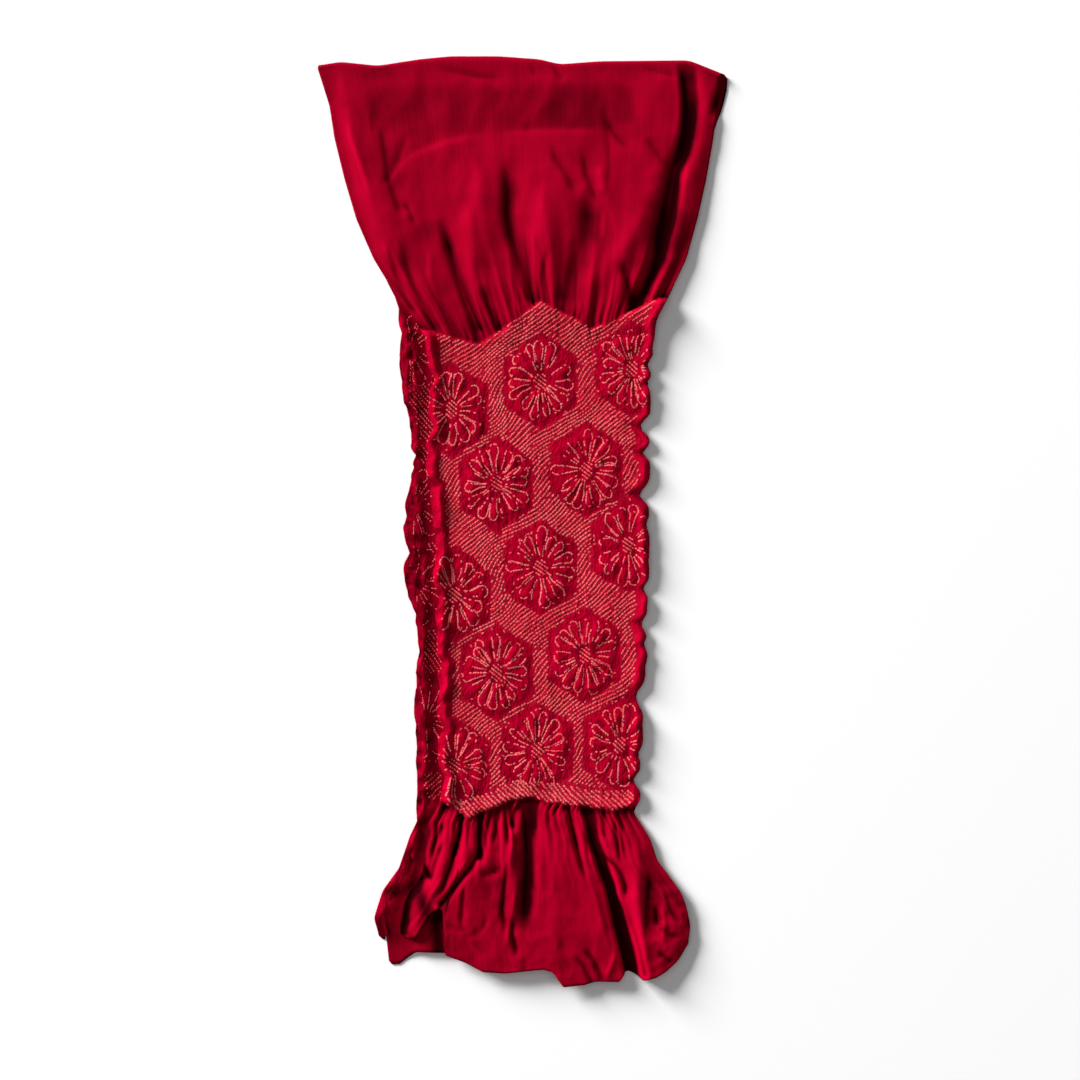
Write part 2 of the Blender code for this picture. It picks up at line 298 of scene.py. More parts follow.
# Where the tying starts below the plain middle, and where its last border ends
TIED_TOP = rows_of(
    Rim,
    (-90, 200), (-67, 203.5), (-61, 205.7), (-38.9, 211.6), (-31.5, 213), (-16.7, 204), (-1.9, 193),
    (13, 182), (21.8, 185.7), (31.5, 191), (42.6, 196), (50, 202), (57.4, 199.8), (72, 193),
    (87, 185.7), (100, 180),
)

BORDER_TOP = rows_of(
    Rim,
    (-70, 545), (-56.6, 548), (-44, 549), (-31.5, 546), (-16.7, 541), (-5.6, 535), (13, 535.8),
    (35.2, 538.7), (57.4, 542.4), (81, 542.4),
)

BORDER_LOW = rows_of(
    Rim,
    (-70, 549), (-56.6, 552), (-46.3, 558.7), (-40.3, 563), (-31.5, 558.7), (-16.7, 553.5),
    (-9.3, 549.8), (5.6, 547.6), (20.4, 551.3), (50, 555), (66.2, 557.2), (79.6, 554.3), (90, 554),
)

MEDALLIONS = rows_of(
    Medallion,
    (13.7, 240.5, 4, 15), (81, 231.6, -5, 15), (-52.2, 261.2, 9, 14), (-18.9, 316, 2, 15),
    (47.7, 305.6, -3, 16), (13.7, 378.1, 7, 15), (78.1, 361.1, 0, 14), (-50, 398.1, -6, 14),
    (-18.9, 455.1, 3, 15), (46.3, 442.5, 8, 15), (10.7, 512.8, -4, 15), (72.2, 509.1, 5, 14),
    (-50, 523.9, 0, 14),
)

# The flowers whose petals show on the strip of the back half
STRIP_FLOWERS = rows_of(
    Medallion,
    (-83, 216, 8, 12), (-80, 331, -10, 12), (-79, 390, 4, 11), (-71, 490, 6, 12),
)

# The folds: paths, widths to the left and right, and heights
TOP_CREASES = rows_of(
    Crease,
    (
        ((119, 6), (120.5, 20), (121.5, 34), (121, 47), (119.5, 58), (117, 69), (114.5, 80),
         (112.5, 91)),
        3, 7.5, -11, END, 2.2,
    ),
    (
        ((119.5, 58), (117, 69), (114.5, 80), (112.5, 91), (110.5, 106), (108, 121), (104.5, 135),
         (102, 150), (97, 162), (91, 174), (86, 181)),
        7, 4.5, -11, START, 1.9,
    ),
    (((135, 18), (137, 34), (135, 60), (129, 90), (122, 120), (114, 150)), 5, 6, 0.7),
    (((150, 13), (147, 24), (142, 38), (140, 47)), 2.5, 4, -3),
    (
        ((-11, 72), (-11, 98), (-11, 117), (-8.5, 132), (-2.5, 148), (2, 161), (6, 178)),
        4.5, 10, -5.6, START, 1.9,
    ),
    (((-31, 75), (-31, 110), (-28, 140), (-24, 160)), 9, 8, 2.4),
    (((14, 90), (17, 120), (17, 150), (13, 172)), 9, 9, 2.2),
    (((50, 96), (50, 118), (48, 135), (43, 152), (38, 163), (32, 176)), 8, 10, -4.6, START),
    (((90, 95), (88, 118), (77, 140), (64, 154), (52, 168), (42, 180)), 7, 7, 2.2),
    (((57, 80), (60, 105)), 4, 3, 1.2),
    (((-142, 20), (-131, 45), (-120, 90), (-108, 125)), 7, 7, 1.2),
    (
        ((-99, 92), (-90, 83), (-79.5, 74), (-61, 66.5), (-42.5, 62), (-20, 60)),
        28, 2.4, 1.3, BOTH, 1.8,
    ),
    (((-20, 59), (20, 57), (64, 57)), 24, 2.6, 1.2, BOTH, 1.8),
    (((-89, 135), (-86, 154), (-79.5, 172), (-72, 187), (-65, 200)), 3, 5, -4.2, START, 1.6),
    (((-61, 118), (-53.5, 143), (-48, 161), (-40, 180), (-31.5, 200)), 4, 6, -5.5, START, 1.7),
    (((-30, 169), (-24, 187), (-17, 200)), 4, 5, -4, START, 1.6),
    (((-100, 144), (-90.5, 169), (-82, 186)), 2.5, 4, -3, START, 1.6),
    (((-41, 106), (-38, 130), (-36, 150), (-37, 168)), 6, 5, 2.2),
    (((72, 150), (78, 169), (81, 186)), 3, 5, -4, START, 1.6),
)

TOP_WRINKLES = rows_of(
    wrinkle,
    (((20, 64), (25, 77), (33, 89), (41, 107)), 2.4, 6, -2.4),
    (((44, 70), (47, 88), (53, 103), (58, 112)), 2.2, 5, -2.2),
    (((59, 34), (62, 52), (64, 75), (64, 106)), 1.8, 4, -1.2),
    (((61, 46), (68, 59), (80, 72)), 2, 5, -1.8),
    (((90, 60), (104, 78), (112, 87)), 2.6, 5, -1.8),
    (((4, 2), (11, 17)), 1.6, 3, -1.6, END),
    (((20, 5), (30, 20)), 1.6, 3, -1.7, END),
    (((57, 3), (60, 14)), 1.6, 3, -1.2),
    (((85, 4), (91, 9), (105, 13), (118, 16)), 1.8, 3, -1.8),
    (((-63, 3), (-61, 9), (-46, 12.5), (-31, 15.5), (-10, 17)), 1.8, 3, -1.6),
    (((-120, 9), (-104, 11), (-90, 7)), 3, 1.5, 1.2),
    (((-130, 46), (-126, 63), (-120, 80), (-110, 108)), 1.6, 4, 1.8, BOTH, 1.4),
    (((-105, 50), (-101, 75), (-99, 92)), 2, 4, -2, START),
    (((-84, 56), (-92, 78), (-99, 92)), 4, 2, -1.5, START),
    (((-99, 90), (-94, 105), (-88, 120)), 3, 6, -2.6),
    (((-88, 108), (-82, 117), (-79, 126)), 1.6, 2.6, -2),
    (((-103, 137), (-94.5, 161)), 1.5, 2.5, 1.6),
    (((-68, 142), (-68, 168)), 1.6, 2.4, 1.3),
    (((60, 113), (59, 138)), 1.6, 2.4, 1.2),
    (((8, 124), (8.5, 168)), 1.6, 2.4, 1.2),
    (((20, 140), (15, 160), (13, 178)), 1.6, 3, -1.8, START),
)

PANEL_CREASES = rows_of(
    Crease,
    (((24, 283), (28, 328), (35, 372), (31, 417)), 5, 14, -1.4, BOTH, 1.5),
    (((-60, 330), (-52, 372), (-58, 420)), 5, 6, -1),
    (((-5, 490), (-10, 525), (-4, 540)), 4, 7, -1.2),
    (((20, 455), (28, 480), (36, 490)), 4, 7, -1.2),
)

SKIRT_CREASES = rows_of(
    Crease,
    (
        ((46, 553), (50, 565), (52, 579), (56, 590), (59.5, 601), (64, 612), (67, 624), (70, 638),
         (73, 650), (76, 661), (79, 676), (80, 690)),
        3, 4, -14, NONE, 2.4,
    ),
    (((68, 618), (72, 638), (76, 652), (80, 668), (83, 690)), 4, 5, -9, START, 2.2),
    (((40, 575), (46, 600), (54, 622), (60, 646), (66, 668)), 9, 3, 2.4, BOTH, 1.6),
    (
        ((57, 586), (63, 593), (68.5, 598), (73, 604), (76, 613), (76, 626)),
        1.4, 2.2, -3.4, BOTH, 1.6,
    ),
    (((82, 574), (85, 602), (85, 626), (88, 650), (92, 680)), 5, 4, 2.6, START),
    (((94, 596), (92.5, 612), (91, 628), (91, 652)), 1.6, 13, -2.8),
    (((-80, 606), (-76, 618), (-72, 629)), 5, 6, -3, START),
    (((-90, 566), (-86, 584), (-78, 600)), 3, 6, 2),
    (((6, 552), (5.5, 579), (5, 609), (3, 631), (0, 655)), 6, 5, -6.5, END),
    (((24, 566), (24, 610), (22, 650), (24, 690)), 9, 10, 2.2, START),
    (((-31.5, 558), (-32, 579), (-31.5, 591)), 2, 3.2, -7, NONE, 1.6),
    (((-39, 590), (-47.5, 603), (-55, 615), (-63, 628)), 2, 3, 2.8, START, 1.6),
    (
        ((-46, 550), (-45, 561), (-46, 572), (-48.5, 583), (-51, 590), (-54, 600), (-60, 616),
         (-67, 623)),
        1.8, 2.8, -5.5, END, 1.6,
    ),
    (((-49, 580), (-51, 592)), 2.2, 2.6, -3.5, BOTH, 1.6),
    (((-70, 562), (-70, 576), (-73, 587), (-73, 597), (-69, 606)), 2, 2.8, -5, START, 1.6),
    (
        ((-67, 597), (-74, 607), (-81, 615), (-84.5, 623), (-86, 633), (-88, 646)),
        2.6, 3.8, -6.5, START, 1.8,
    ),
    (
        ((-52, 598), (-61, 610), (-68, 620), (-72, 629), (-77, 637), (-85, 645)),
        1.8, 2.2, 1.6, START, 1.6,
    ),
    (((-83, 586), (-78, 602)), 4, 4, 1.8),
    (((-9, 553), (-8, 564), (-6.5, 574)), 2, 2.4, -5, END, 1.6),
    (((-5.5, 562), (-8, 579), (-9, 594), (-8.5, 609)), 2.4, 3, 2.4, BOTH, 1.6),
    (((-4, 606), (-7, 627), (-9, 642), (-13, 662)), 2, 2.6, 2.2, BOTH, 1.6),
    (
        ((-10, 592), (-12, 601), (-13.5, 616), (-15, 630), (-13.5, 642), (-13.5, 652)),
        1.8, 2.4, -3.6, BOTH, 1.6,
    ),
    (((-7, 632), (-8, 647), (-5.5, 657), (-4, 668)), 1.8, 3, -3.6, BOTH, 1.6),
    (((-57, 626), (-57, 646), (-56, 664)), 1.6, 6, 2.2, START, 1.6),
)

SKIRT_WRINKLES = rows_of(
    wrinkle,
    (((76, 622), (79.5, 638), (84, 650), (87, 661), (90.5, 678)), 1.4, 2.4, -3, START),
    (((64, 598), (70, 612), (73, 628)), 2, 2, 2),
    (((33.5, 556), (37.5, 572), (41, 587), (44, 598), (46.5, 606), (48, 613)), 1.8, 3.2, -5.5, END),
    (((67, 558), (70, 579), (71.5, 590), (73, 598)), 1.4, 2.2, -3),
    (((72, 560), (74, 580), (76, 596)), 1.4, 2.2, -2.4),
    (((59, 556), (61, 580)), 1.4, 2.4, -2.4, END),
    (((104, 612), (110, 632), (118, 644)), 1.6, 3, -2),
    (((100, 642), (110, 650), (119, 650)), 1.6, 2.6, -2),
    (((99, 660), (108, 668), (114, 668)), 1.6, 2.6, -2.4),
    (((102, 622), (105, 640), (103, 656)), 1.8, 1.8, 1.8),
    (((98, 626), (99, 644)), 1.4, 2, -1.8),
    (((-31.5, 588), (-39, 600), (-45, 607), (-52, 616.5), (-60, 626)), 2.8, 2, -6, NONE),
    (((-56, 562), (-61, 573), (-65.5, 583), (-68, 596)), 1.5, 2.2, -3.4),
    (((-57.5, 578), (-62.5, 590), (-65.5, 601), (-69, 611)), 1.5, 2.2, -4),
    (((-24, 560), (-27, 576), (-28, 590)), 1.8, 3, -3.4, END),
    (((-19, 558), (-20, 572), (-22, 584)), 1.4, 2.2, -3, END),
    (((-13, 556), (-11.5, 572), (-11, 585)), 1.4, 2.2, -3.6, END),
    (((2, 551), (3, 572)), 1.4, 2, -3, END),
    (((8, 551), (9, 574)), 1.4, 2, -3, END),
    (((-42.5, 606), (-44, 624), (-45, 637), (-45, 648)), 1.6, 2.6, -2.8),
    (((-14, 598), (-18, 601), (-28, 604.5), (-33, 602)), 2.6, 1.6, -2.4),
    (((-57, 640), (-46, 645), (-36, 644)), 2.4, 1.6, -1.4),
    (((-46, 650), (-36, 648), (-31, 640)), 2.4, 1.6, -1.4),
    (((-36, 652), (-28, 642), (-26, 632)), 1.8, 2.4, -1.2),
    (((38, 664), (45, 672), (52, 686)), 1.6, 2.6, -2.4, START),
    (((44, 658), (53, 668), (58, 680)), 1.6, 2.6, -2.4, START),
    (((60, 682), (66, 670), (69, 660)), 2.4, 1.8, 2),
    (((-82, 646), (-82.5, 664)), 2, 3, -1.6),
)

# Painted shade along broad lines: how much darker the silk is painted, or paler where below 0 as painted
# highlight, standing in for the shading of the folds
PAINTED_SHADE_LINES = rows_of(
    Crease,
    (((-103, 39), (-60, 38), (-20, 38), (66, 36)), 19, 17, 0.75, NONE, 6),
    (((30, 38), (48, 39)), 15, 15, 0.45, NONE, 5),
    (((-100, 58), (-99, 88)), 7, 9, 0.6, START),
    (((-85, 64), (-60, 57), (-38, 55)), 5, 8, 0.4),
    (((-116, 9), (-92, 10)), 5, 4, 0.7),
    (((-31, 64), (-31, 100), (-34, 135)), 13, 11, -1, END),
    (((12, 64), (16, 100), (18, 150)), 12, 13, -0.8, END),
    (((-140, 20), (-128, 55), (-114, 100), (-104, 130)), 8, 8, -0.7),
    (((88, 60), (90, 85), (89, 112)), 8, 7, -0.8),
    (((92, 118), (76, 140), (56, 166)), 8, 6, -0.4),
    (((74, 30), (100, 46)), 12, 12, -0.3),
    (((-86, 128), (-62, 128)), 9, 7, 0.6, BOTH, 4),
    (((98, 95), (100, 120), (97, 146)), 11, 5, 0.8),
    (((121, 108), (114, 132), (108, 150)), 9, 8, 1),
    (((151, 10), (147, 26), (142, 42)), 5, 5, 1.8, END),
    (((50, 112), (49, 140)), 9, 11, 0.7),
    (((-58, 192), (-34, 206), (-16, 196)), 8, 8, 0.6),
    (((36, 186), (52, 196), (74, 186)), 7, 7, 0.5),
    (((32, 300), (36, 340), (34, 380)), 5, 10, 0.7),
    (((-55, 330), (-50, 372), (-56, 420)), 8, 8, 0.4),
    (((-10, 500), (-12, 540)), 10, 10, 0.5),
    (((5.5, 558), (5, 590), (3, 620), (0, 650)), 7, 6, 1.3, END),
    (((24, 560), (24, 610), (22, 660)), 9, 12, -0.8),
    (((84, 582), (85, 615), (87, 650), (91, 676)), 6, 5, -0.8),
    (((97, 598), (98, 625), (97, 650)), 4.5, 11, 0.65, BOTH, 3),
    (((112, 614), (114, 632)), 6, 6, 0.5),
    (((126, 20), (127, 48), (123, 70), (117, 92)), 5, 6, 1.2),
    (((118, 76), (116, 108), (111, 138), (104, 160), (97, 176)), 4, 5, 1.5),
    (((134, 34), (132, 70), (126, 104)), 6, 6, 0.6),
    (((-86, 600), (-80, 616), (-72, 632)), 7, 8, 0.9, START, 3),
    (((-72, 560), (-74, 590), (-76, 606)), 6, 6, 0.7),
    (((-36, 556), (-40, 585)), 10, 8, 0.35),
    (((42, 672), (54, 668)), 7, 7, 0.9),
    (((-52, 634), (-50, 652)), 7, 10, -0.6),
    (((-18, 606), (-22, 640)), 8, 8, 0.35),
    (((-62, 634), (-63, 648), (-62, 668)), 5, 6, 2.6, NONE, 3),
    (((-78, 636), (-68, 638)), 4.5, 5, 0.9, NONE, 3),
    (((-70, 602), (-81, 615), (-85, 628), (-88, 646)), 3.4, 4.4, 0.9, START, 2.4),
    (((-80, 645), (-80, 671)), 9, 9, 0.5, NONE, 3),
    (((-106, 648), (-93, 651)), 6, 6, 0.8, NONE),
    (((-98, 615), (-101, 636)), 7, 7, -0.6),
)


def signed_gap(path: tuple, across: Array, down: Array) -> tuple:
    """Measures places against a line of points.

    Args:
        path: the line's (across, down) points.
        across: the places' first coordinates.
        down: the places' second coordinates.

    Returns:
        The gap to the line and the share of the line passed. The gap is below 0 on the
        left of a line that runs down, which is below a line that runs to the right.
    """
    nearest = np.full(across.shape, np.inf)
    side = np.ones(across.shape)
    passed = np.zeros(across.shape)
    lengths = [math.dist(a, b) for a, b in zip(path, path[1:])]
    before = 0.0
    for (x0, y0), (x1, y1), length in zip(path, path[1:], lengths):
        run_x, run_y = (x1 - x0) / length, (y1 - y0) / length
        along = np.clip((across - x0) * run_x + (down - y0) * run_y, 0.0, length)
        off_x, off_y = across - x0 - along * run_x, down - y0 - along * run_y
        gap = np.hypot(off_x, off_y)
        closer = gap < nearest
        nearest = np.where(closer, gap, nearest)
        side = np.where(closer, np.where(run_x * off_y > run_y * off_x, -1.0, 1.0), side)
        passed = np.where(closer, (before + along) / sum(lengths), passed)
        before += length
    return nearest * side, passed


def crease_relief(creases: tuple, across: Array, down: Array) -> Array:
    """Sums the heights that a table of creases gives at each place.

    Args:
        creases: the table.
        across: the places' first coordinates.
        down: their second coordinates.

    Returns:
        The summed heights.
    """
    total = np.zeros(across.shape)
    fade_share = 0.3
    for crease in creases:
        xs, ys = zip(*crease.path)
        reach = 3.2 * max(crease.left_width, crease.right_width)
        near = (across > min(xs) - reach) & (across < max(xs) + reach)
        near &= (down > min(ys) - reach) & (down < max(ys) + reach)
        gap, passed = signed_gap(crease.path, across[near], down[near])
        width = np.where(gap < 0, crease.left_width, crease.right_width)
        relief = crease.height * np.exp(-((np.abs(gap) / width) ** crease.sharpness))
        if crease.fade.value[0]:
            relief = relief * soft_step(passed / fade_share)
        if crease.fade.value[1]:
            relief = relief * soft_step((1.0 - passed) / fade_share)
        total[near] += relief
    return total


@dataclass
class Shape:
    """The sash as it lies: its outline, folds and heights, in millimetres."""

    turn_radius: float = 3.1
    thickness: float = 0.7
    tied_thickness: float = 0.5
    top_reach: float = 90.0
    hem_reach: float = 110.0
    hexagon_half_width: float = 26.5
    hexagon_half_height: float = 35.5
    hexagon_rise: float = 1.0
    petal_rise: float = 0.7
    left_ribbon: float = 10.0
    right_ribbon: float = 8.0
    layer_clearance: float = 3.6
    plain_floor: float = 2.0
    tied_floor: float = 1.6
    back_most_rise: float = 3.5
    top_wrinkle: float = 0.75
    skirt_wrinkle: float = 1.0
    plain_swell: float = 1.2
    tied_swell: float = 0.5
    warp_streak: float = 0.05
    broad_crumple: float = 0.35
    fine_crumple: float = 0.13
    lobe_crumple: float = 0.55
    skirt_crumple: float = 0.34
    hem_crumple: float = 0.25
    tied_crumple: float = 0.34
    # Painted shade: how strongly the troughs of folds darken the silk
    crease_shade: float = 0.12
    gather_calm: float = 0.38
    skirt_calm: float = 0.27
    # Painted shade in broad hollows, random patch tone, painted highlight on the left plain strip (below
    # 0), painted shade on the shown strip of the back half, and a paler tied panel (below 0)
    broad_shade: float = 0.22
    patch_shade: float = 0.22
    ribbon_shade: float = -0.55
    strip_shade: float = 0.40
    hexagon_shade: float = -0.45
    readers: dict = field(default_factory=dict)

    def __post_init__(self) -> None:
        """Turns the tables into smooth curves and makes the seeded reliefs."""
        for half, table in ((Half.FRONT, FRONT_EDGES), (Half.BACK, BACK_EDGES)):
            downs = [row.down for row in table]
            self.readers[half, "left"] = smooth_reader(downs, [row.left for row in table], 2.2)
            self.readers[half, "right"] = smooth_reader(downs, [row.right for row in table], 2.2)
        rims = {
            "top": (TOP_EDGE, 4.0),
            "tied_top": (TIED_TOP, 1.5),
            "border_top": (BORDER_TOP, 2.0),
            "border_low": (BORDER_LOW, 1.5),
            Half.FRONT: (FRONT_HEM, 1.0),
            Half.BACK: (BACK_HEM, 0.6),
        }
        for name, (table, reach) in rims.items():
            places = [row.across for row in table]
            self.readers[name] = smooth_reader(places, [row.down for row in table], reach)
        downs = [row.down for row in FRONT_LOFT]
        self.readers["loft"] = smooth_reader(downs, [row.height for row in FRONT_LOFT], 8.0)
        self.broad = Noise(3)
        self.fine = Noise(8)
        self.streaks = Noise(21)
        self.pleats = self.make_pleats()

    def side(self, half: Half, name: str, down: Array) -> Array:
        """Finds one side of a half, with its pinches.

        Args:
            half: the half.
            name: "left" or "right".
            down: how far down the side is read.

        Returns:
            The side's places across.
        """
        plain = self.readers[half, name](down)
        if half is Half.FRONT:
            pinches = LEFT_PINCHES if name == "left" else RIGHT_PINCHES
        else:
            pinches = BACK_PINCHES if name == "left" else ()
        drawn = self.pinched(pinches, down)
        wave = 0.5 * self.fine.at(down / 4.0, 3.0 + len(name)) + 0.7 * self.fine.at(down / 9.0, 9.0)
        if name == "left" and half is Half.FRONT:
            wave = 1.8 * wave + 2.3 * self.broad.at(down / 12.0, 2.0)
        wave = wave * soft_step((down - 195.0) / 20.0) * soft_step((575.0 - down) / 20.0)
        return plain + (drawn + wave if name == "left" else -drawn - wave)

    @staticmethod
    def pinched(pinches: tuple, down: Array) -> Array:
        """Sums the pinches of a selvedge.

        Args:
            pinches: the table of its pinches.
            down: how far down it is read.

        Returns:
            How far the selvedge is drawn in at each distance down.
        """
        drawn = np.zeros_like(down)
        for pinch in pinches:
            drawn = drawn + pinch.depth * np.exp(-(((down - pinch.down) / pinch.half_length) ** 2))
        return drawn

    def plan(self, half: Half, v: Array, u: Array) -> tuple:
        """Lays out one half.

        Args:
            half: the half to lay out.
            v: the rows' places from the turn, 0, to the hem, 1.
            u: the columns' places from the left side, 0, to the right side, 1.

        Returns:
            The across and down coordinates of its grid.
        """
        u, v = u[None, :], v[:, None]
        table = FRONT_HEM if half is Half.FRONT else BACK_HEM
        edges = FRONT_EDGES if half is Half.FRONT else BACK_EDGES
        top = self.readers["top"](edges[0].left + (edges[0].right - edges[0].left) * u)
        top = top + self.turn_radius
        low = self.readers[half](table[0].across + (table[-1].across - table[0].across) * u)
        level_top, level_low = float(top.mean()), float(low.mean())
        down = level_top + (level_low - level_top) * v
        near_top = soft_step(1.0 - (down - level_top) / self.top_reach)
        near_hem = soft_step(1.0 - (level_low - down) / self.hem_reach)
        down = down + (top - level_top) * near_top + (low - level_low) * near_hem
        left, right = self.side(half, "left", down), self.side(half, "right", down)
        return left + (right - left) * u, down

    def tied(self, across: Array, down: Array) -> Array:
        """Tells the tied panel from plain silk.

        Args:
            across: the places' first coordinates.
            down: their second coordinates.

        Returns:
            1 on the tied panel and 0 on plain silk, with a short slope between.
        """
        start = soft_step((down - self.readers["tied_top"](across)) / 3.0 + 0.5)
        end = soft_step((self.readers["border_low"](across) - down) / 3.0 + 0.5)
        return start * end

    @staticmethod
    def make_pleats() -> list:
        """Draws the gathers above and below the panel, many fine ones and some broad.

        Returns:
            The pleats.
        """
        random = np.random.default_rng(12)
        kinds = (
            (True, 96, (0.0028, 0.0075), (22.0, 105.0), (0.3, 1.1), 0.75),
            (False, 84, (0.0032, 0.0085), (14.0, 90.0), (0.5, 1.9), 0.8),
            (True, 15, (0.012, 0.026), (90.0, 165.0), (0.8, 2.0), 0.5),
            (False, 13, (0.012, 0.024), (60.0, 125.0), (0.8, 1.8), 0.5),
        )
        pleats = []
        for above, count, widths, reaches, heights, sunk_share in kinds:
            for place in (np.arange(count) + random.uniform(0.0, 1.0, count)) / count:
                reach = reaches[0] + (reaches[1] - reaches[0]) * random.uniform() ** 1.6
                height = random.uniform(*heights)
                sign = -1.0 if random.uniform() < sunk_share else 1.0
                lean = random.normal(0.0, 0.02)
                pleats.append(Pleat(above, place, random.uniform(*widths), reach, sign * height, lean))
        return pleats

    def pleat_relief(self, u: Array, across: Array, down: Array) -> Array:
        """Sums the gathers at each place of the front half.

        Args:
            u: the places' shares of the loom width.
            across: the places' first coordinates.
            down: their second coordinates.

        Returns:
            The summed heights.
        """
        top, low = self.readers["tied_top"](across), self.readers["border_low"](across)
        total = np.zeros(down.shape)
        bend = 0.006 * self.broad.at(u * 9.0, down / 30.0)
        for pleat in self.pleats:
            away = (top - down) if pleat.above else (down - low)
            share = np.clip(away / pleat.reach, 0.0, 1.0)
            strength = soft_step(1.0 - share) * soft_step((away + 4.0) / 6.0)
            wide = pleat.width * (1.0 + 0.9 * share)
            gap = np.abs(u + bend - pleat.place - pleat.lean * share) / wide
            near = (gap < 3.0) & (strength > 0.0)
            total[near] += pleat.height * strength[near] * np.exp(-(gap[near] ** 1.5))
        return total

    def crumple(self, across: Array, down: Array, size: float) -> Array:
        """Draws sharp random creases.

        Args:
            across: the places' first coordinates.
            down: their second coordinates.
            size: how far apart the creases lie.

        Returns:
            Heights from about -1 to 1.
        """
        bent = across + 0.4 * size * self.broad.at(across / size, down / size)
        sharp = 1.0 - 2.2 * np.abs(self.fine.at(bent / size, down / (1.5 * size)))
        finer = 1.0 - 2.2 * np.abs(self.streaks.at(bent / (0.45 * size), down / (0.6 * size)))
        return sharp + 0.4 * finer

    def hexagon_depth(self, across: Array, down: Array, medallion: Medallion) -> Array:
        """Measures how far inside a hexagon each place is.

        Args:
            across: the places' first coordinates.
            down: their second coordinates.
            medallion: the hexagon.

        Returns:
            The depth, below 0 outside.
        """
        x = across - medallion.across
        y = down - medallion.down
        x = x + 1.0 * self.fine.at(down / 9.0, medallion.across)
        y = y + 1.2 * self.fine.at(across / 9.0, medallion.down)
        a, b = self.hexagon_half_width, self.hexagon_half_height
        slant = (b / 2.0) / a
        from_side = a - np.abs(x)
        from_slant = (b - np.abs(y) - slant * np.abs(x)) / math.hypot(1.0, slant)
        return np.minimum(from_side, from_slant)

    def inside_hexagons(self, across: Array, down: Array) -> Array:
        """Returns the greatest depth inside any hexagon."""
        depths = [self.hexagon_depth(across, down, m) for m in MEDALLIONS]
        return np.max(depths, axis=0)

    def medallion_relief(self, across: Array, down: Array) -> Array:
        """Raises the hexagons with the pillows of their petals.

        Args:
            across: the places' first coordinates.
            down: their second coordinates.

        Returns:
            The heights.
        """
        total = np.zeros(down.shape)
        for m in MEDALLIONS:
            depth = self.hexagon_depth(across, down, m)
            near = depth > 0
            x, y = across[near] - m.across, (down[near] - m.down) / FLOWER_STRETCH
            far = np.hypot(x, y)
            turn = np.arctan2(y, x) - math.radians(m.turn)
            petals = 0.5 + 0.5 * np.cos(m.petals * turn)
            window = soft_step((far - 5.0) / 4.0) * soft_step((23.0 - far) / 4.0)
            lump = 0.9 * self.fine.at(x / 6.0 + m.across, y / 6.0 + m.down)
            rise = (self.hexagon_rise + lump) * soft_step(depth[near] / 7.0)
            total[near] += rise + self.petal_rise * petals * window
        return total

    def ribbon_relief(self, across: Array, down: Array) -> Array:
        """Draws the puffs of the plain selvedge strips beside the tied panel.

        Args:
            across: the places' first coordinates.
            down: their second coordinates.

        Returns:
            The heights.
        """
        total = np.zeros(down.shape)
        sides = (("left", LEFT_PINCHES, self.left_ribbon), ("right", RIGHT_PINCHES, self.right_ribbon))
        for name, pinches, width in sides:
            side = self.side(Half.FRONT, name, down)
            inwards = (across - side) if name == "left" else (side - across)
            drawn = self.pinched(pinches, down)
            puff = 2.6 - 0.45 * np.minimum(drawn, 5.0) + 0.6 * self.fine.at(down / 7.0, 2.0)
            if name == "left":
                uneven = np.abs(self.broad.at(down / 12.0 + 0.2 * inwards / width, 7.0))
                puff = 1.0 + 2.6 * uneven + 0.6 * puff
            share = np.clip(inwards / width, 0.0, 1.5)
            middle = 0.45 + 0.22 * self.fine.at(down / 11.0, 15.0)
            profile = np.exp(-(((share - middle) / 0.38) ** 2))
            tuck = 0.6 * self.fine.at(down / 3.0, inwards / 12.0) * np.exp(-((share / 0.9) ** 2))
            total += puff * profile + tuck
            for pinch in pinches:
                line = pinch.down + 0.25 * inwards * math.sin(pinch.down)
                cut = np.exp(-((np.abs(down - line) / 1.7) ** 1.5))
                total -= 0.35 * pinch.depth * cut * np.exp(-((inwards / (1.1 * width)) ** 2))
        return total

    def front_height(self, u: Array, across: Array, down: Array) -> Array:
        """Finds how high the front half's top face stands above the surface.

        Args:
            u: the places' shares of the loom width.
            across: the places' first coordinates.
            down: their second coordinates.

        Returns:
            The heights.
        """
        tied = self.tied(across, down)
        left, right = self.side(Half.FRONT, "left", down), self.side(Half.FRONT, "right", down)
        to_edge = np.minimum(across - left, right - across)
        height = self.readers["loft"](down)
        height = height * (1.0 - (1.0 - tied) * 0.5 * (1.0 - soft_step(to_edge / 16.0)))
        folds = crease_relief(TOP_CREASES + SKIRT_CREASES, across, down)
        folds = folds + self.top_wrinkle * crease_relief(TOP_WRINKLES, across, down)
        folds = folds + self.skirt_wrinkle * crease_relief(SKIRT_WRINKLES, across, down)
        gather = soft_step((down - 120.0) / 50.0) * soft_step((235.0 - down) / 40.0)
        middle = soft_step((down - 572.0) / 25.0) * soft_step((62.0 - across) / 20.0)
        calm = self.gather_calm * gather + self.skirt_calm * middle
        height = height + folds * (1.0 - 0.9 * tied) * (1.0 - calm)
        height = height + crease_relief(PANEL_CREASES, across, down)
        height = height + self.pleat_relief(u, across, down) * (1.0 - tied)
        height = height + (self.medallion_relief(across, down) + self.ribbon_relief(across, down)) * tied
        plain = 1.0 - tied
        height = height + plain * self.plain_swell * self.broad.layered(across / 34.0, down / 60.0, 3)
        height = height + plain * self.warp_streak * self.streaks.layered(u * 55.0, down / 38.0, 2)
        height = height + plain * self.broad_crumple * self.crumple(across, down, 26.0)
        lobe = soft_step((across - 84.0) / 14.0) * soft_step((down - 600.0) / 20.0)
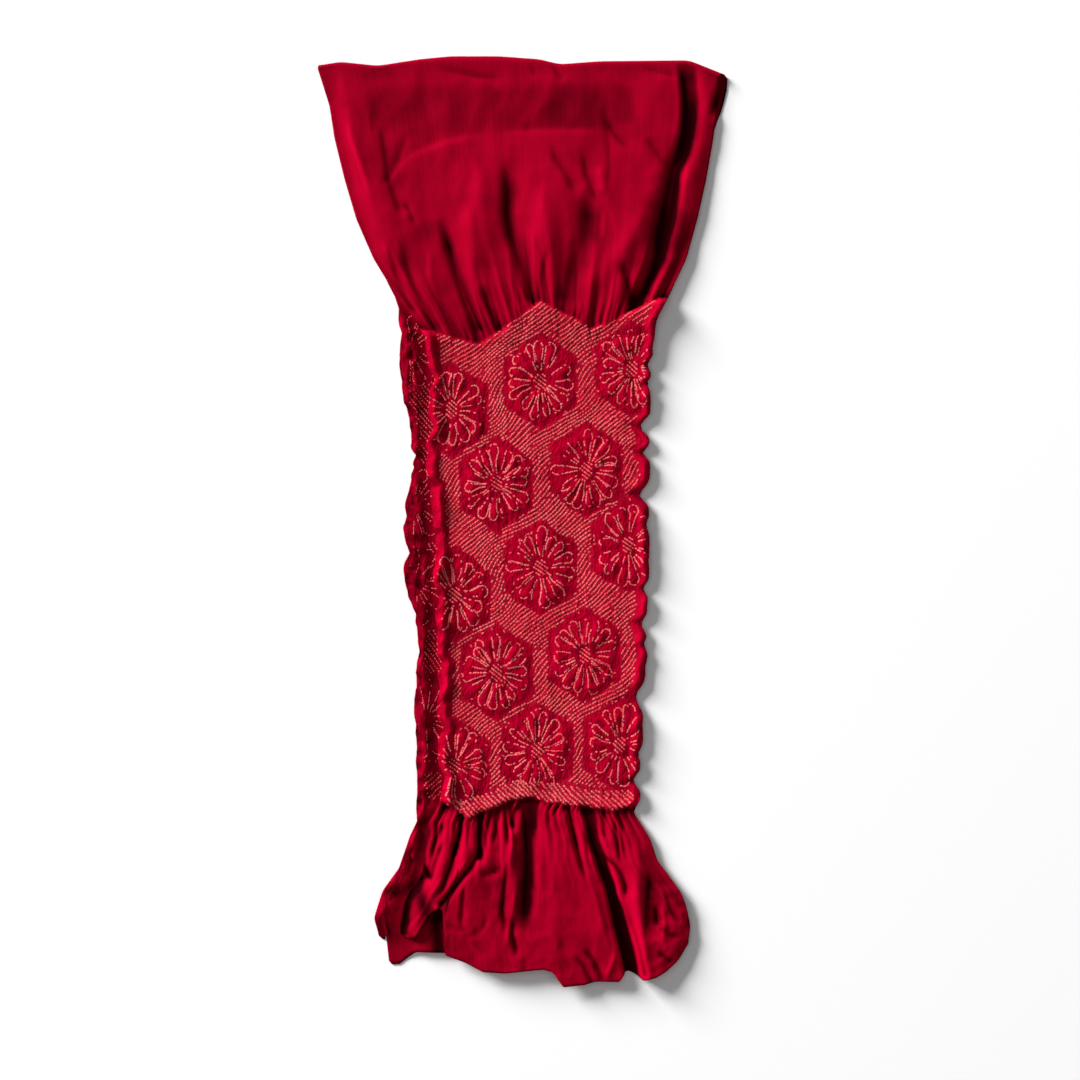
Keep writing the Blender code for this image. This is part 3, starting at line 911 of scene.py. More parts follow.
        height = height + self.lobe_crumple * lobe * self.crumple(across, down, 9.0)
        skirt = soft_step((down - 552.0) / 20.0)
        height = height + self.skirt_crumple * skirt * self.crumple(across, down, 9.5)
        height = height + self.fine_crumple * plain * (1.0 - skirt) * self.crumple(across, down, 13.0)
        hem = soft_step((down - 640.0) / 25.0)
        height = height + self.hem_crumple * hem * self.crumple(across, down, 8.0)
        height = height + tied * self.tied_swell * self.broad.layered(across / 20.0, down / 20.0, 2)
        height = height + tied * self.tied_crumple * self.crumple(across, down, 5.5)
        height = self.soft_floor(height)
        reach = soft_step((down - self.turn_radius) / 16.0)
        floor = self.plain_floor + self.tied_floor * tied
        return (floor + height) * reach + 2.0 * self.turn_radius * (1.0 - reach)

    @staticmethod
    def soft_floor(height: Array) -> Array:
        """Rounds off heights that would fall below 0."""
        softness = 0.6
        return softness * np.logaddexp(0.0, height / softness)

    def band(self, across: Array, down: Array) -> Array:
        """Tells the dotted bands from the rest of the front half.

        Args:
            across: the places' first coordinates.
            down: their second coordinates.

        Returns:
            1 on the bands, and 0 in the hexagons, on the plain strips and on plain silk.
        """
        left = self.side(Half.FRONT, "left", down) + self.left_ribbon
        right = self.side(Half.FRONT, "right", down) - self.right_ribbon
        between = soft_step((across - left) / 4.0 + 0.5) * soft_step((right - across) / 4.0 + 0.5)
        outside = soft_step(0.5 - self.inside_hexagons(across, down) / 2.5)
        return self.tied(across, down) * between * outside

    def tone(self, half: Half, height: Array, across: Array, down: Array) -> Array:
        """Returns how deep each place lies or looks, in millimetres below its surroundings, as painted
        shade and painted highlight with random tone.

        Args:
            half: the half the places are on.
            height: the heights of its grid's points.
            across: their first coordinates.
            down: their second coordinates.

        Returns:
            The depth, which darkens the silk as painted shade, or below 0 makes it paler as painted
            highlight where it stands out.
        """
        # Painted shade in hollows and painted highlight on ridges, from the heights around each place, near
        # and broad
        tone = self.hollows(height, 4) + self.broad_shade * self.hollows(height, 14)
        # Painted shade and painted highlight along listed broad lines
        tone = tone + crease_relief(PAINTED_SHADE_LINES, across, down)
        # Random patches of darker and paler tone
        tone = tone + self.patch_shade * self.broad.layered(across / 30.0, down / 42.0, 3)
        # On the back half, painted shade on the strip that shows beside the front half's left edge
        if half is Half.BACK:
            left = self.readers[Half.FRONT, "left"](down)
            return tone + self.strip_shade * soft_step((left - across) / 6.0 + 0.5)
        # Painted shade in the troughs of the folds on plain silk
        creases = crease_relief(TOP_CREASES + SKIRT_CREASES, across, down)
        tied = self.tied(across, down)
        tone = tone + self.crease_shade * np.maximum(-creases, 0.0) * (1.0 - tied)
        # Painted highlight on the plain strip at the left of the tied panel; the rest of the tied panel is
        # made paler as well
        left = self.side(Half.FRONT, "left", down)
        ribbon = soft_step((self.left_ribbon + 2.0 - (across - left)) / 4.0)
        return tone + (self.ribbon_shade * ribbon + self.hexagon_shade * (1.0 - ribbon)) * tied

    @staticmethod
    def hollows(height: Array, reach: int) -> Array:
        """Measures how far each place lies below the cloth around it.

        Args:
            height: the heights of a grid's points.
            reach: how many points away the cloth around is read.

        Returns:
            The depths in millimetres.
        """
        around = height
        for axis in (0, 1):
            kernel = np.hanning(2 * reach + 3)[1:-1]
            kernel = kernel / kernel.sum()
            padding = [(reach, reach) if axis == k else (0, 0) for k in (0, 1)]
            padded = np.pad(around, padding, mode="edge")
            around = np.apply_along_axis(lambda line: np.convolve(line, kernel, "valid"), axis, padded)
        return around - height

    def back_rise(self, across: Array, down: Array) -> Array:
        """Finds how high the back half's underside is lifted.

        Args:
            across: the places' first coordinates.
            down: their second coordinates.

        Returns:
            The heights.
        """
        left = self.readers[Half.FRONT, "left"](down)
        right = self.readers[Half.FRONT, "right"](down)
        shown = soft_step((left - 2.0 - across) / 9.0)
        shown = shown * soft_step((down - 175.0) / 20.0) * soft_step((648.0 - down) / 20.0)
        own_edge = self.side(Half.BACK, "left", down)
        drawn = self.pinched(BACK_PINCHES, down)
        wave = 1.3 + 1.0 * self.fine.at(down / 10.0, 31.0) - 0.35 * drawn
        curl = np.exp(-(((across - own_edge - 4.0) / 4.5) ** 2))
        strip = shown * np.maximum(wave, 0.2) * (0.5 + 0.8 * curl)
        strip = strip + shown * 1.1 * np.maximum(self.crumple(across, down, 7.0) + 0.7, 0.0)
        strip = strip + shown * 0.8 * np.maximum(self.crumple(down, across, 5.0) + 0.5, 0.0)
        inwards = np.minimum(across - left, right - across)
        covered = soft_step((inwards - 4.0) / 16.0)
        roof = self.lowest_front(across, down) - self.layer_clearance
        lifted = np.clip(roof, 0.0, self.back_most_rise)
        return np.minimum(strip * (1.0 - covered) + lifted * covered, np.maximum(roof, 0.0) + 9.0 * shown)

    def lowest_front(self, across: Array, down: Array) -> Array:
        """Finds the lowest height of the front half close to each place.

        Args:
            across: the places' first coordinates.
            down: their second coordinates.

        Returns:
            The lowest heights.
        """
        lowest = np.full(across.shape, np.inf)
        left = self.readers[Half.FRONT, "left"](down)
        right = self.readers[Half.FRONT, "right"](down)
        for aside in (-2.5, 0.0, 2.5):
            for along in (-3.0, 0.0, 3.0):
                x, y = across + aside, down + along
                u = np.clip((x - left) / (right - left), 0.0, 1.0)
                lowest = np.minimum(lowest, self.front_height(u, x, y))
        return lowest


@dataclass
class SashSheet:
    """The silk itself: one closed sheet from the back hem over the turn to the front hem."""

    shape: Shape
    fine_columns: int = 168
    middle_columns: int = 84
    coarse_columns: int = 42
    front_rows: int = 330
    back_rows: int = 220
    turn_rows: int = 9
    inner_turn_rows: int = 3
    base_row_step: int = 4
    base_column_step: int = 2
    back_crowding: tuple = ((0.0, 0.09, 0.88, 1.0), (0.0, 0.26, 0.86, 1.0))
    loom_width: float = 0.300
    finished_length: float = 1.38
    tied_width: float = 0.170
    tied_length: float = 0.700
    points: list = field(default_factory=list)
    flat_places: list = field(default_factory=list)
    faces: list = field(default_factory=list)

    def add_grid(self, grid: Array, u: Array, v: Array, flip: bool) -> Array:
        """Adds a grid of points and its faces.

        Args:
            grid: rows and columns of (across, down, height).
            u: each column's share of the loom width.
            v: each row's share of the sash's length.
            flip: whether the faces are turned over.

        Returns:
            The points' numbers, in the grid's rows and columns.
        """
        rows, columns = grid.shape[:2]
        first = sum(len(part) for part in self.points)
        numbers = first + np.arange(rows * columns).reshape(rows, columns)
        self.points.append(grid.reshape(-1, 3))
        flat = np.stack(np.broadcast_arrays(u[None, :], v[:, None]), axis=-1)
        self.flat_places.append(flat.reshape(-1, 2))
        a, b = numbers[:-1, :-1].ravel(), numbers[:-1, 1:].ravel()
        c, d = numbers[1:, 1:].ravel(), numbers[1:, :-1].ravel()
        quads = np.stack((a, b, c, d) if flip else (a, d, c, b), axis=1)
        self.faces.extend(quads.tolist())
        return numbers

    def stitch(self, fine: Array, coarse: Array, flip: bool) -> None:
        """Joins two edges, the first with a whole number of steps for each of the second's.

        Args:
            fine: the numbers of the first edge's points.
            coarse: the numbers of the second edge's points.
            flip: whether the faces are turned over.
        """
        ratio = (len(fine) - 1) // (len(coarse) - 1)
        for step in range(len(coarse) - 1):
            run = [int(n) for n in fine[step * ratio : (step + 1) * ratio + 1]]
            ring = [*run, int(coarse[step + 1]), int(coarse[step])]
            self.faces.append(ring[::-1] if flip else ring)

    def turn(self, u: Array, steps: int, radius: float) -> Array:
        """Bends the cloth through its half-round turn at the top fold.

        Args:
            u: the columns' places.
            steps: how many rows of faces the turn has.
            radius: how far the face stands from the middle of the turn.

        Returns:
            The turn's rows of points, from the back half to the front half.
        """
        shape = self.shape
        ends = np.array((0.0, 1.0))
        across_back = shape.plan(Half.BACK, ends, u)[0][0]
        across, down = shape.plan(Half.FRONT, ends, u)
        rows = []
        for angle in np.linspace(0.0, math.pi, steps + 1):
            mix = angle / math.pi
            place = across_back * (1.0 - mix) + across[0] * mix
            height = np.full_like(place, shape.turn_radius - radius * math.cos(angle))
            rows.append(np.stack((place, down[0] - radius * math.sin(angle), height), axis=-1))
        return np.array(rows)

    def lower_face(self, grid: Array) -> Array:
        """Makes the underside of a top face, one thickness below the lowest points nearby.

        Args:
            grid: the top face's rows and columns of (across, down, height).

        Returns:
            Every second row and column of the underside.
        """
        normals = np.cross(np.gradient(grid, axis=1), np.gradient(grid, axis=0))
        steep = np.linalg.norm(normals, axis=-1) / np.maximum(np.abs(normals[..., 2]), 1e-9)
        steep[0] = 1.0
        under = grid[..., 2] - self.shape.thickness * np.minimum(steep, 2.0)
        padded = np.pad(under, 1, mode="edge")
        rows, columns = under.shape
        around = [padded[i : i + rows, j : j + columns] for i in range(3) for j in range(3)]
        lowest = np.min(around, axis=0)
        lowest[0] = under[0]
        lower = grid.copy()
        lower[..., 2] = lowest
        return lower[::2, ::2]

    @staticmethod
    def crowded(u: Array) -> Array:
        """Moves column places towards the strip of the back half that shows."""
        return 0.35 * u + 0.65 * u**2.2

    @staticmethod
    def lowest_near(height: Array, rows: int, columns: int) -> Array:
        """Finds the lowest height near each point of a grid.

        Args:
            height: the heights.
            rows: how many rows away still count as near.
            columns: how many columns away still count as near.

        Returns:
            The lowest heights.
        """
        padded = np.pad(height, ((rows, rows), (columns, columns)), mode="edge")
        near = np.lib.stride_tricks.sliding_window_view(padded, (2 * rows + 1, 2 * columns + 1))
        return near.min(axis=(2, 3))

    def build(self) -> bpy.types.Object:
        """Makes the sheet's mesh, with a map of its flat cloth.

        Returns:
            The sheet.
        """
        shape = self.shape
        u_fine = np.linspace(0.0, 1.0, self.fine_columns + 1)
        u_middle = np.linspace(0.0, 1.0, self.middle_columns + 1)
        u_coarse = np.linspace(0.0, 1.0, self.coarse_columns + 1)

        v_front = np.linspace(0.0, 1.0, self.front_rows + 1)
        across, down = shape.plan(Half.FRONT, v_front, u_fine)
        height = shape.front_height(np.broadcast_to(u_fine, across.shape), across, down)
        front_top = np.stack((across, down, height), axis=-1)
        front_low = self.lower_face(front_top)

        v_back = np.interp(np.linspace(0.0, 1.0, self.back_rows + 1), *self.back_crowding)
        across, down = shape.plan(Half.BACK, v_back, u_middle)
        lean = soft_step(4.0 * v_back)[:, None]
        spread = u_middle + (self.crowded(u_middle) - u_middle) * lean
        left, right = shape.side(Half.BACK, "left", down), shape.side(Half.BACK, "right", down)
        across = left + (right - left) * spread
        rise = shape.back_rise(across, down)
        rise[0] = 0.0
        thick = shape.thickness + shape.tied_thickness * shape.tied(across, down)
        back_top = np.stack((across, down, rise + thick), axis=-1)
        lowest = self.lowest_near(rise, self.base_row_step, self.base_column_step)
        back_low = np.stack((across, down, lowest), axis=-1)
        back_low = back_low[:: self.base_row_step, :: self.base_column_step]

        turn_out = self.turn(u_fine, self.turn_rows, shape.turn_radius)
        turn_in = self.turn(u_middle, self.inner_turn_rows, shape.turn_radius - shape.thickness)

        v_front, v_back = 0.5 + 0.5 * v_front, 0.5 - 0.5 * v_back
        v_out, v_in = np.full(self.turn_rows - 1, 0.5), np.full(self.inner_turn_rows - 1, 0.5)
        front = self.add_grid(front_top, u_fine, v_front, False)
        under = self.add_grid(front_low, u_middle, v_front[::2], True)
        back = self.add_grid(back_top, u_middle, v_back, False)
        base = self.add_grid(back_low, u_coarse, v_back[:: self.base_row_step], True)
        outside = self.add_grid(turn_out[1:-1], u_fine, v_out, False)
        inside = self.add_grid(turn_in[1:-1], u_middle, v_in, True)

        self.stitch(outside[0], base[0], False)
        self.stitch(front[0], outside[-1], True)
        self.stitch(inside[-1], under[0], False)
        self.stitch(back[0], inside[0], True)
        self.stitch(front[-1], under[-1], False)
        self.stitch(back[-1], base[-1], False)
        self.stitch(front[:, 0], under[:, 0], False)
        self.stitch(front[:, -1], under[:, -1], True)
        self.stitch(back[:, 0], base[:, 0], False)
        self.stitch(back[:, -1], base[:, -1], True)
        for side, flip in ((0, False), (-1, True)):
            outer = np.array([base[0, side], *outside[:, side], front[0, side]])
            inner = np.array([back[0, side], *inside[:, side], under[0, side]])
            self.stitch(outer, inner, flip)

        sheet = self.make_object("sash_silk")
        # The silk's painted shade and painted highlight, with its random tone, for each point of the two
        # top faces
        painted_light_and_tone = np.zeros(len(sheet.data.vertices), dtype=np.float32)
        painted_light_and_tone[front.ravel()] = shape.tone(Half.FRONT, height, front_top[..., 0], front_top[..., 1]).ravel()
        painted_light_and_tone[back.ravel()] = shape.tone(Half.BACK, rise, back_top[..., 0], back_top[..., 1]).ravel()
        every_place = np.concatenate(self.points)
        tied = shape.tied(every_place[:, 0], every_place[:, 1])
        band = np.zeros(len(every_place))
        band[front.ravel()] = shape.band(front_top[..., 0], front_top[..., 1]).ravel()
        for name, values in (("painted_light_and_tone", painted_light_and_tone), ("tied", tied), ("band", band)):
            attribute = sheet.data.attributes.new(name, "FLOAT", "POINT")
            attribute.data.foreach_set("value", np.asarray(values, dtype=np.float32))
        return sheet

    def make_object(self, name: str) -> bpy.types.Object:
        """Turns the gathered points and faces into an object with a cloth map.

        Args:
            name: the object's name.

        Returns:
            The object.
        """
        places = to_metres(np.concatenate(self.points))
        mesh = bpy.data.meshes.new(name)
        mesh.from_pydata(places.tolist(), [], self.faces)
        mesh.update()
        flat = np.concatenate(self.flat_places) * (self.loom_width, self.finished_length)
        corner_points = np.empty(len(mesh.loops), dtype=np.int32)
        mesh.loops.foreach_get("vertex_index", corner_points)
        layer = mesh.uv_layers.new(name="cloth")
        layer.data.foreach_set("uv", flat[corner_points].astype(np.float32).ravel())
        mesh.shade_smooth()
        sheet = bpy.data.objects.new(name, mesh)
        bpy.context.collection.objects.link(sheet)
        bpy.ops.object.select_all(action="DESELECT")
        sheet.select_set(True)
        bpy.context.view_layer.objects.active = sheet
        bpy.ops.object.mode_set(mode="EDIT")
        bpy.ops.mesh.select_all(action="SELECT")
        bpy.ops.mesh.normals_make_consistent(inside=False)
        bpy.ops.object.mode_set(mode="OBJECT")
        return sheet


def to_metres(places: Array) -> Array:
    """Turns the sash's own millimetres into the frame's metres.

    Args:
        places: rows of (across, down, height).

    Returns:
        Rows of x, y and z.
    """
    low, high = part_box("sash_cloth")
    moved = np.empty_like(places)
    moved[:, 0] = (low[0] + high[0]) / 2.0 + (places[:, 0] - MIDDLE_ACROSS) * MM
    moved[:, 1] = high[1] - places[:, 1] * MM
    moved[:, 2] = low[2] + places[:, 2] * MM
    return moved


class Knot(NamedTuple):
    """One tied dot: its place, the way it points and how pale it is."""

    across: float
    down: float
    run_across: float
    run_down: float
    pale: float


@dataclass
class TiedDots:
    """The tied dots that stand on the cloth, in rows and along the petals."""

    shape: Shape
    sheet: bpy.types.Object
    row_pitch: float = 2.85
    dot_pitch: float = 2.15
    row_angle: float = 36.0
    swirl_angle: float = 26.0
    swirl_reach: float = 17.0
    drift: float = 1.5
    row_sway: float = 0.35
    row_scatter: float = 0.17
    dot_scatter: float = 0.16
    missing_share: float = 0.03
    band_paleness: float = 0.46
    pale_scatter: float = 0.20
    half_length: float = 1.42
    half_width: float = 0.74
    half_height: float = 0.25
    foot_level: float = -0.15
    petal_inner: float = 6.8
    petal_outer: float = 23.5
    petal_pitch: float = 1.6
    petal_dot_size: float = 0.95
    strip_dot_size: float = 0.72
    border_dot_size: float = 1.15
    size_spread: tuple = (0.80, 1.14)
    band_box: tuple = (-75.0, 105.0, 170.0, 560.0)
    border_box: tuple = (-60.0, 90.0, 530.0, 570.0)
    border_angle: float = -44.0
    strip_box: tuple = (-112.0, -52.0, 205.0, 522.0)
    strip_angle: float = -52.0
    patch_box: tuple = (-76.0, -60.0, 529.0, 549.0)
    patch_angle: float = 44.0
    strip_flower_reach: float = 25.0
    strip_blank_above: float = 0.45
    strip_faint: float = -0.25
    strip_paleness: float = 0.7
    petal_paleness: float = 0.74
    eye_paleness: float = 0.5
    speck_count: int = 16
    seed: int = 5

    def __post_init__(self) -> None:
        """Prepares the random numbers, the cloth's surface and the dot's shape."""
        self.random = np.random.default_rng(self.seed)
        mesh = self.sheet.data
        points = np.empty(len(mesh.vertices) * 3)
        mesh.vertices.foreach_get("co", points)
        self.points = points.reshape(-1, 3)
        polygons = [tuple(face.vertices) for face in mesh.polygons]
        self.surface = BVHTree.FromPolygons(self.points.tolist(), polygons)
        self.patch = Noise(14)
        self.corners, self.facets = self.model_dot()

    def model_dot(self) -> tuple:
        """Models one dot, a small knot with a pinched crown.

        Returns:
            Its points, in millimetres, and its faces.
        """
        bpy.ops.object.select_all(action="DESELECT")
        bpy.ops.mesh.primitive_uv_sphere_add(segments=6, ring_count=4, radius=1.0)
        dot = bpy.context.active_object
        bpy.ops.object.mode_set(mode="EDIT")
        bpy.ops.mesh.select_all(action="SELECT")
        size = (self.half_length, self.half_width, self.half_height)
        bpy.ops.transform.resize(value=size)
        foot = (0.0, 0.0, self.foot_level)
        bpy.ops.mesh.bisect(plane_co=foot, plane_no=(0, 0, 1), clear_inner=True)
        bpy.ops.object.mode_set(mode="OBJECT")
        corners = np.array([vertex.co for vertex in dot.data.vertices])
        facets = [tuple(face.vertices) for face in dot.data.polygons]
        bpy.data.objects.remove(dot, do_unlink=True)
        return corners, facets

    def warp(self, across: Array, down: Array) -> tuple:
        """Turns the rows steeper between neighbouring hexagons.

        Args:
            across: the places' first coordinates.
            down: the places' second coordinates.

        Returns:
            The moved places.
        """
        centres = [(m.across + side, m.down) for m in MEDALLIONS for side in (-32.5, 32.5)]
        kept = []
        for centre in centres:
            if all(math.dist(centre, other) > 20.0 for other in kept):
                kept.append(centre)
        new_across, new_down = across.copy(), down.copy()
        for x0, y0 in kept:
            x, y = across - x0, down - y0
            reach = (x**2 + (y / 1.4) ** 2) / self.swirl_reach**2
            turn = -math.radians(self.swirl_angle) * np.exp(-reach)
            cos, sin = np.cos(turn), np.sin(turn)
            new_across += x * cos - y * sin - x
            new_down += x * sin + y * cos - y
        return new_across, new_down

    def rows(self, angle: float, box: tuple, swirl: bool) -> list:
        """Lays rows of dots over a box.

        Args:
            angle: how steeply the rows climb to the right, in degrees.
            box: the least and greatest across, then the least and greatest down.
            swirl: whether the rows bend between the hexagons.

        Returns:
            The dots' knots.
        """
        run = (math.cos(math.radians(angle)), -math.sin(math.radians(angle)))
        off = (-run[1], run[0])
        left, right, top, low = box
        middle = ((left + right) / 2.0, (top + low) / 2.0)
        reach = math.hypot(right - left, low - top) / 2.0 + 10.0
        row_count, dot_count = int(reach / self.row_pitch), int(reach / self.dot_pitch)
        row, dot = np.meshgrid(
            np.arange(-row_count, row_count + 1), np.arange(-dot_count, dot_count + 1), indexing="ij"
        )
        sway = self.row_sway * self.patch.at(row * 0.31, dot * 0.12)
        side = row * self.row_pitch + sway + self.random.normal(0.0, self.row_scatter, row.shape)
        shift = self.random.uniform(0.0, self.dot_pitch, row.shape[0])[:, None]
        along = dot * self.dot_pitch + shift + self.random.normal(0.0, self.dot_scatter, row.shape)
        across = middle[0] + along * run[0] + side * off[0]
        down = middle[1] + along * run[1] + side * off[1]
        drift_down = self.drift * self.patch.layered(across / 24.0, down / 24.0, 2)
        drift_across = self.drift * self.patch.layered(down / 24.0 + 9.0, across / 24.0, 2)
        across, down = across + drift_across, down + drift_down
        ahead_across, ahead_down = across + run[0], down + run[1]
        if swirl:
            across, down = self.warp(across, down)
            ahead_across, ahead_down = self.warp(ahead_across, ahead_down)
        inside = (across > left) & (across < right) & (down > top) & (down < low)
        kept = inside & (self.random.random(row.shape) > self.missing_share)
        pale = self.band_paleness + 0.30 * self.patch.at(across / 16.0, down / 16.0)
        pale = pale + 0.22 * self.patch.at(row * 1.7, dot / 4.0)
        pale = np.clip(pale + self.random.normal(0.0, self.pale_scatter, row.shape), 0.0, 1.0)
        gathered = (across, down, ahead_across - across, ahead_down - down, pale)
        return [Knot(*values) for values in zip(*(part[kept].tolist() for part in gathered))]

    @staticmethod
    def places_of(knots: list) -> tuple:
        """Returns the knots' coordinates across and down."""
        return np.array([knot.across for knot in knots]), np.array([knot.down for knot in knots])

    @staticmethod
    def picked(knots: list, kept: Array) -> list:
        """Returns the knots that are marked as kept."""
        return [knot for knot, keep in zip(knots, kept) if keep]

    def band_knots(self) -> list:
        """Lays the dots of the bands around the hexagons.

        Returns:
            The knots.
        """
        knots = self.rows(self.row_angle, self.band_box, swirl=True)
        across, down = self.places_of(knots)
        shape = self.shape
        wobble = 0.8 * self.patch.at(across / 3.0, down / 3.0)
        left = shape.side(Half.FRONT, "left", down) + shape.left_ribbon + wobble
        right = shape.side(Half.FRONT, "right", down) - shape.right_ribbon + wobble
        kept = (across > left) & (across < right)
        kept &= down > shape.readers["tied_top"](across) + 0.6 * wobble
        kept &= down < shape.readers["border_top"](across) - 2.0
        kept &= shape.inside_hexagons(across, down) < -0.6 + 0.5 * wobble
        return self.picked(knots, kept)

    def border_knots(self) -> list:
        """Lays the dots of the border below the hexagons, whose rows fall to the right.

        Returns:
            The knots.
        """
        knots = self.rows(self.border_angle, self.border_box, swirl=False)
        shape = self.shape
        across, down = self.places_of(knots)
        left = shape.side(Half.FRONT, "left", down) + 6.0
        right = shape.side(Half.FRONT, "right", down) - 5.0
        kept = (across > left) & (across < right)
        kept &= down > shape.readers["border_top"](across) + 0.5
        kept &= down < shape.readers["border_low"](across) - 0.3
        return self.picked(knots, kept)

    def petal_lines(self, medallion: Medallion, turn: float) -> list:
        """Draws the two sides and the round end of one petal, some of them broken off.

        Args:
            medallion: the flower.
            turn: the petal's direction, in radians.

        Returns:
            The lines, each with its points in millimetres about the flower's centre.
        """
        random = self.random
        inner = self.petal_inner + random.normal(0.0, 1.0)
        outer = self.petal_outer + random.normal(0.0, 1.2)
        half_angle = math.pi / medallion.petals * random.uniform(0.58, 0.84)
        cap_depth = random.uniform(2.6, 4.6)
        shoulder = outer - cap_depth
        half = shoulder * math.tan(half_angle)
        start = inner * math.tan(half_angle) * 0.8
        lean = random.normal(0.0, 0.05)
        lines = []
        for sign in (-1.0, 1.0):
            if random.random() < 0.07:
                continue
            first = inner + random.uniform(0.0, 3.0)
            last = shoulder + random.uniform(-2.0, 1.2)
            bow = random.normal(0.0, 0.5)
            far = np.linspace(first, last, 9)
            share = (far - inner) / (shoulder - inner)
            aside = start + (half - start) * share + bow * np.sin(math.pi * share)
            lines.append((far, sign * aside))
        if random.random() > 0.12:
            reach = random.uniform(0.05, 0.5)
            around = np.linspace(reach, math.pi - random.uniform(0.05, 0.5), 9)
            lines.append((shoulder + cap_depth * np.sin(around), half * np.cos(around)))
        drawn = []
        for far, aside in lines:
            angle = turn + lean + aside / far
            drawn.append(np.stack((far * np.cos(angle), FLOWER_STRETCH * far * np.sin(angle)), axis=1))
        return drawn

    def flower_knots(self) -> list:
        """Lays the dots along the petals and in the eyes of the flowers.

        Returns:
            The knots.
        """
        knots = []
        shape = self.shape
        for m in MEDALLIONS:
            faint = self.random.uniform(-0.22, 0.02)
            for petal in range(m.petals):
                turn = math.radians(m.turn) + 2.0 * math.pi * petal / m.petals
                turn += self.random.normal(0.0, 0.05)
                petal_faint = faint + self.random.normal(0.0, 0.16)
                for line in self.petal_lines(m, turn):
                    knots += self.dots_along(line, m, petal_faint + self.random.normal(0.0, 0.14))
            knots += self.eye_knots(m) + self.speck_knots(m)
        across, down = self.places_of(knots)
        left = shape.side(Half.FRONT, "left", down) + 3.5
        right = shape.side(Half.FRONT, "right", down) - 3.0
        kept = (across > left) & (across < right)
        kept &= shape.inside_hexagons(across, down) > -1.5
        kept &= down < shape.readers["border_low"](across) - 2.0
        return self.picked(knots, kept)

    def dots_along(self, line: Array, medallion: Medallion, faint: float) -> list:
        """Sets dots along a petal's line, some of them missing or faint.

        Args:
            line: the line's points about the flower's centre.
            medallion: the flower.
            faint: how much paler the dots are than a petal's usual ones.

        Returns:
            The knots.
        """
        steps = np.hypot(*np.diff(line, axis=0).T)
        far = np.concatenate(([0.0], np.cumsum(steps)))
        count = max(2, int(round(far[-1] / self.petal_pitch)))
        places = np.linspace(0.0, far[-1], count) + self.random.normal(0.0, 0.3, count)
        stray = np.cumsum(self.random.normal(0.0, 0.16, count))
        gap_at = self.random.uniform(-6.0, far[-1])
        knots = []
        for place, aside in zip(places, stray):
            if abs(place - gap_at) < 1.3 or self.random.random() < 0.05:
                continue
            here, ahead, behind = (
                np.array([np.interp(place + step, far, line[:, k]) for k in (0, 1)])
                for step in (0.0, 0.8, -0.8)
            )
            run = ahead - behind
            across = medallion.across + here[0] - aside * run[1] / 1.6
            down = medallion.down + here[1] + aside * run[0] / 1.6
            pale = self.petal_paleness + faint + self.random.normal(0.0, 0.18)
            pale = float(np.clip(pale, 0.0, 1.0))
            knots.append(Knot(across, down, run[0], run[1], pale))
        return knots

    def speck_knots(self, medallion: Medallion) -> list:
        """Scatters faint single dots over a hexagon, most of them outside the petals.

        Args:
            medallion: the flower of the hexagon.

        Returns:
            The knots.
        """
        knots = []
        for _ in range(self.speck_count):
            turn = self.random.uniform(0.0, 2.0 * math.pi)
            far = self.petal_outer * self.random.uniform(0.85, 1.25)
            across = medallion.across + far * math.cos(turn)
            down = medallion.down + FLOWER_STRETCH * far * math.sin(turn)
            lie = self.random.uniform(0.0, math.pi)
            pale = self.random.uniform(0.0, 0.5)
            knots.append(Knot(across, down, math.cos(lie), math.sin(lie), pale))
        return knots

    def eye_knots(self, medallion: Medallion) -> list:
        """Sets the short slanting rows in the eye of a flower.

        Args:
            medallion: the flower.

        Returns:
            The knots.
        """
        knots = []
        angle = math.radians(38.0 + self.random.uniform(-6.0, 6.0))
        run, off = (math.cos(angle), math.sin(angle)), (-math.sin(angle), math.cos(angle))
        for row in range(-2, 3):
            for dot in range(-3, 4):
                side, along = row * 2.5, dot * 2.1 + self.random.uniform(-0.3, 0.3)
                x, y = along * run[0] + side * off[0], along * run[1] + side * off[1]
                if (x / 4.8) ** 2 + (y / 6.4) ** 2 > 1.0:
                    continue
                pale = float(np.clip(self.random.normal(self.eye_paleness, 0.2), 0.0, 1.0))
                knots.append(Knot(medallion.across + x, medallion.down + y, run[0], run[1], pale))
        return knots

    def strip_knots(self) -> list:
        """Lays the dots on the strip of the back half that shows at the left.

        Returns:
            The knots.
        """
        knots = self.rows(self.strip_angle, self.strip_box, swirl=False)
        patch = self.rows(self.patch_angle, self.patch_box, swirl=False)
        flowers = []
        for m in STRIP_FLOWERS:
            for petal in range(m.petals):
                turn = math.radians(m.turn) + 2.0 * math.pi * petal / m.petals
                for line in self.petal_lines(m, turn):
                    flowers += self.dots_along(line, m, self.strip_faint)
        shape = self.shape
        row_knots = len(knots)
        knots = knots + patch + flowers
        across, down = self.places_of(knots)
        left = shape.side(Half.BACK, "left", down) + 5.0 + 2.0 * self.patch.at(down / 6.0, 1.0)
        right = shape.side(Half.FRONT, "left", down) + 1.0
        kept = (across > left) & (across < right)
        blank = self.patch.at(down / 22.0, 40.0) > self.strip_blank_above
        for m in STRIP_FLOWERS:
            far = np.hypot(across - m.across, (down - m.down) / FLOWER_STRETCH)
            blank |= far < self.strip_flower_reach
        kept &= ~(blank & (np.arange(len(knots)) < row_knots))
        picked = self.picked(knots, kept)
        return [knot._replace(pale=self.strip_paleness * knot.pale) for knot in picked]

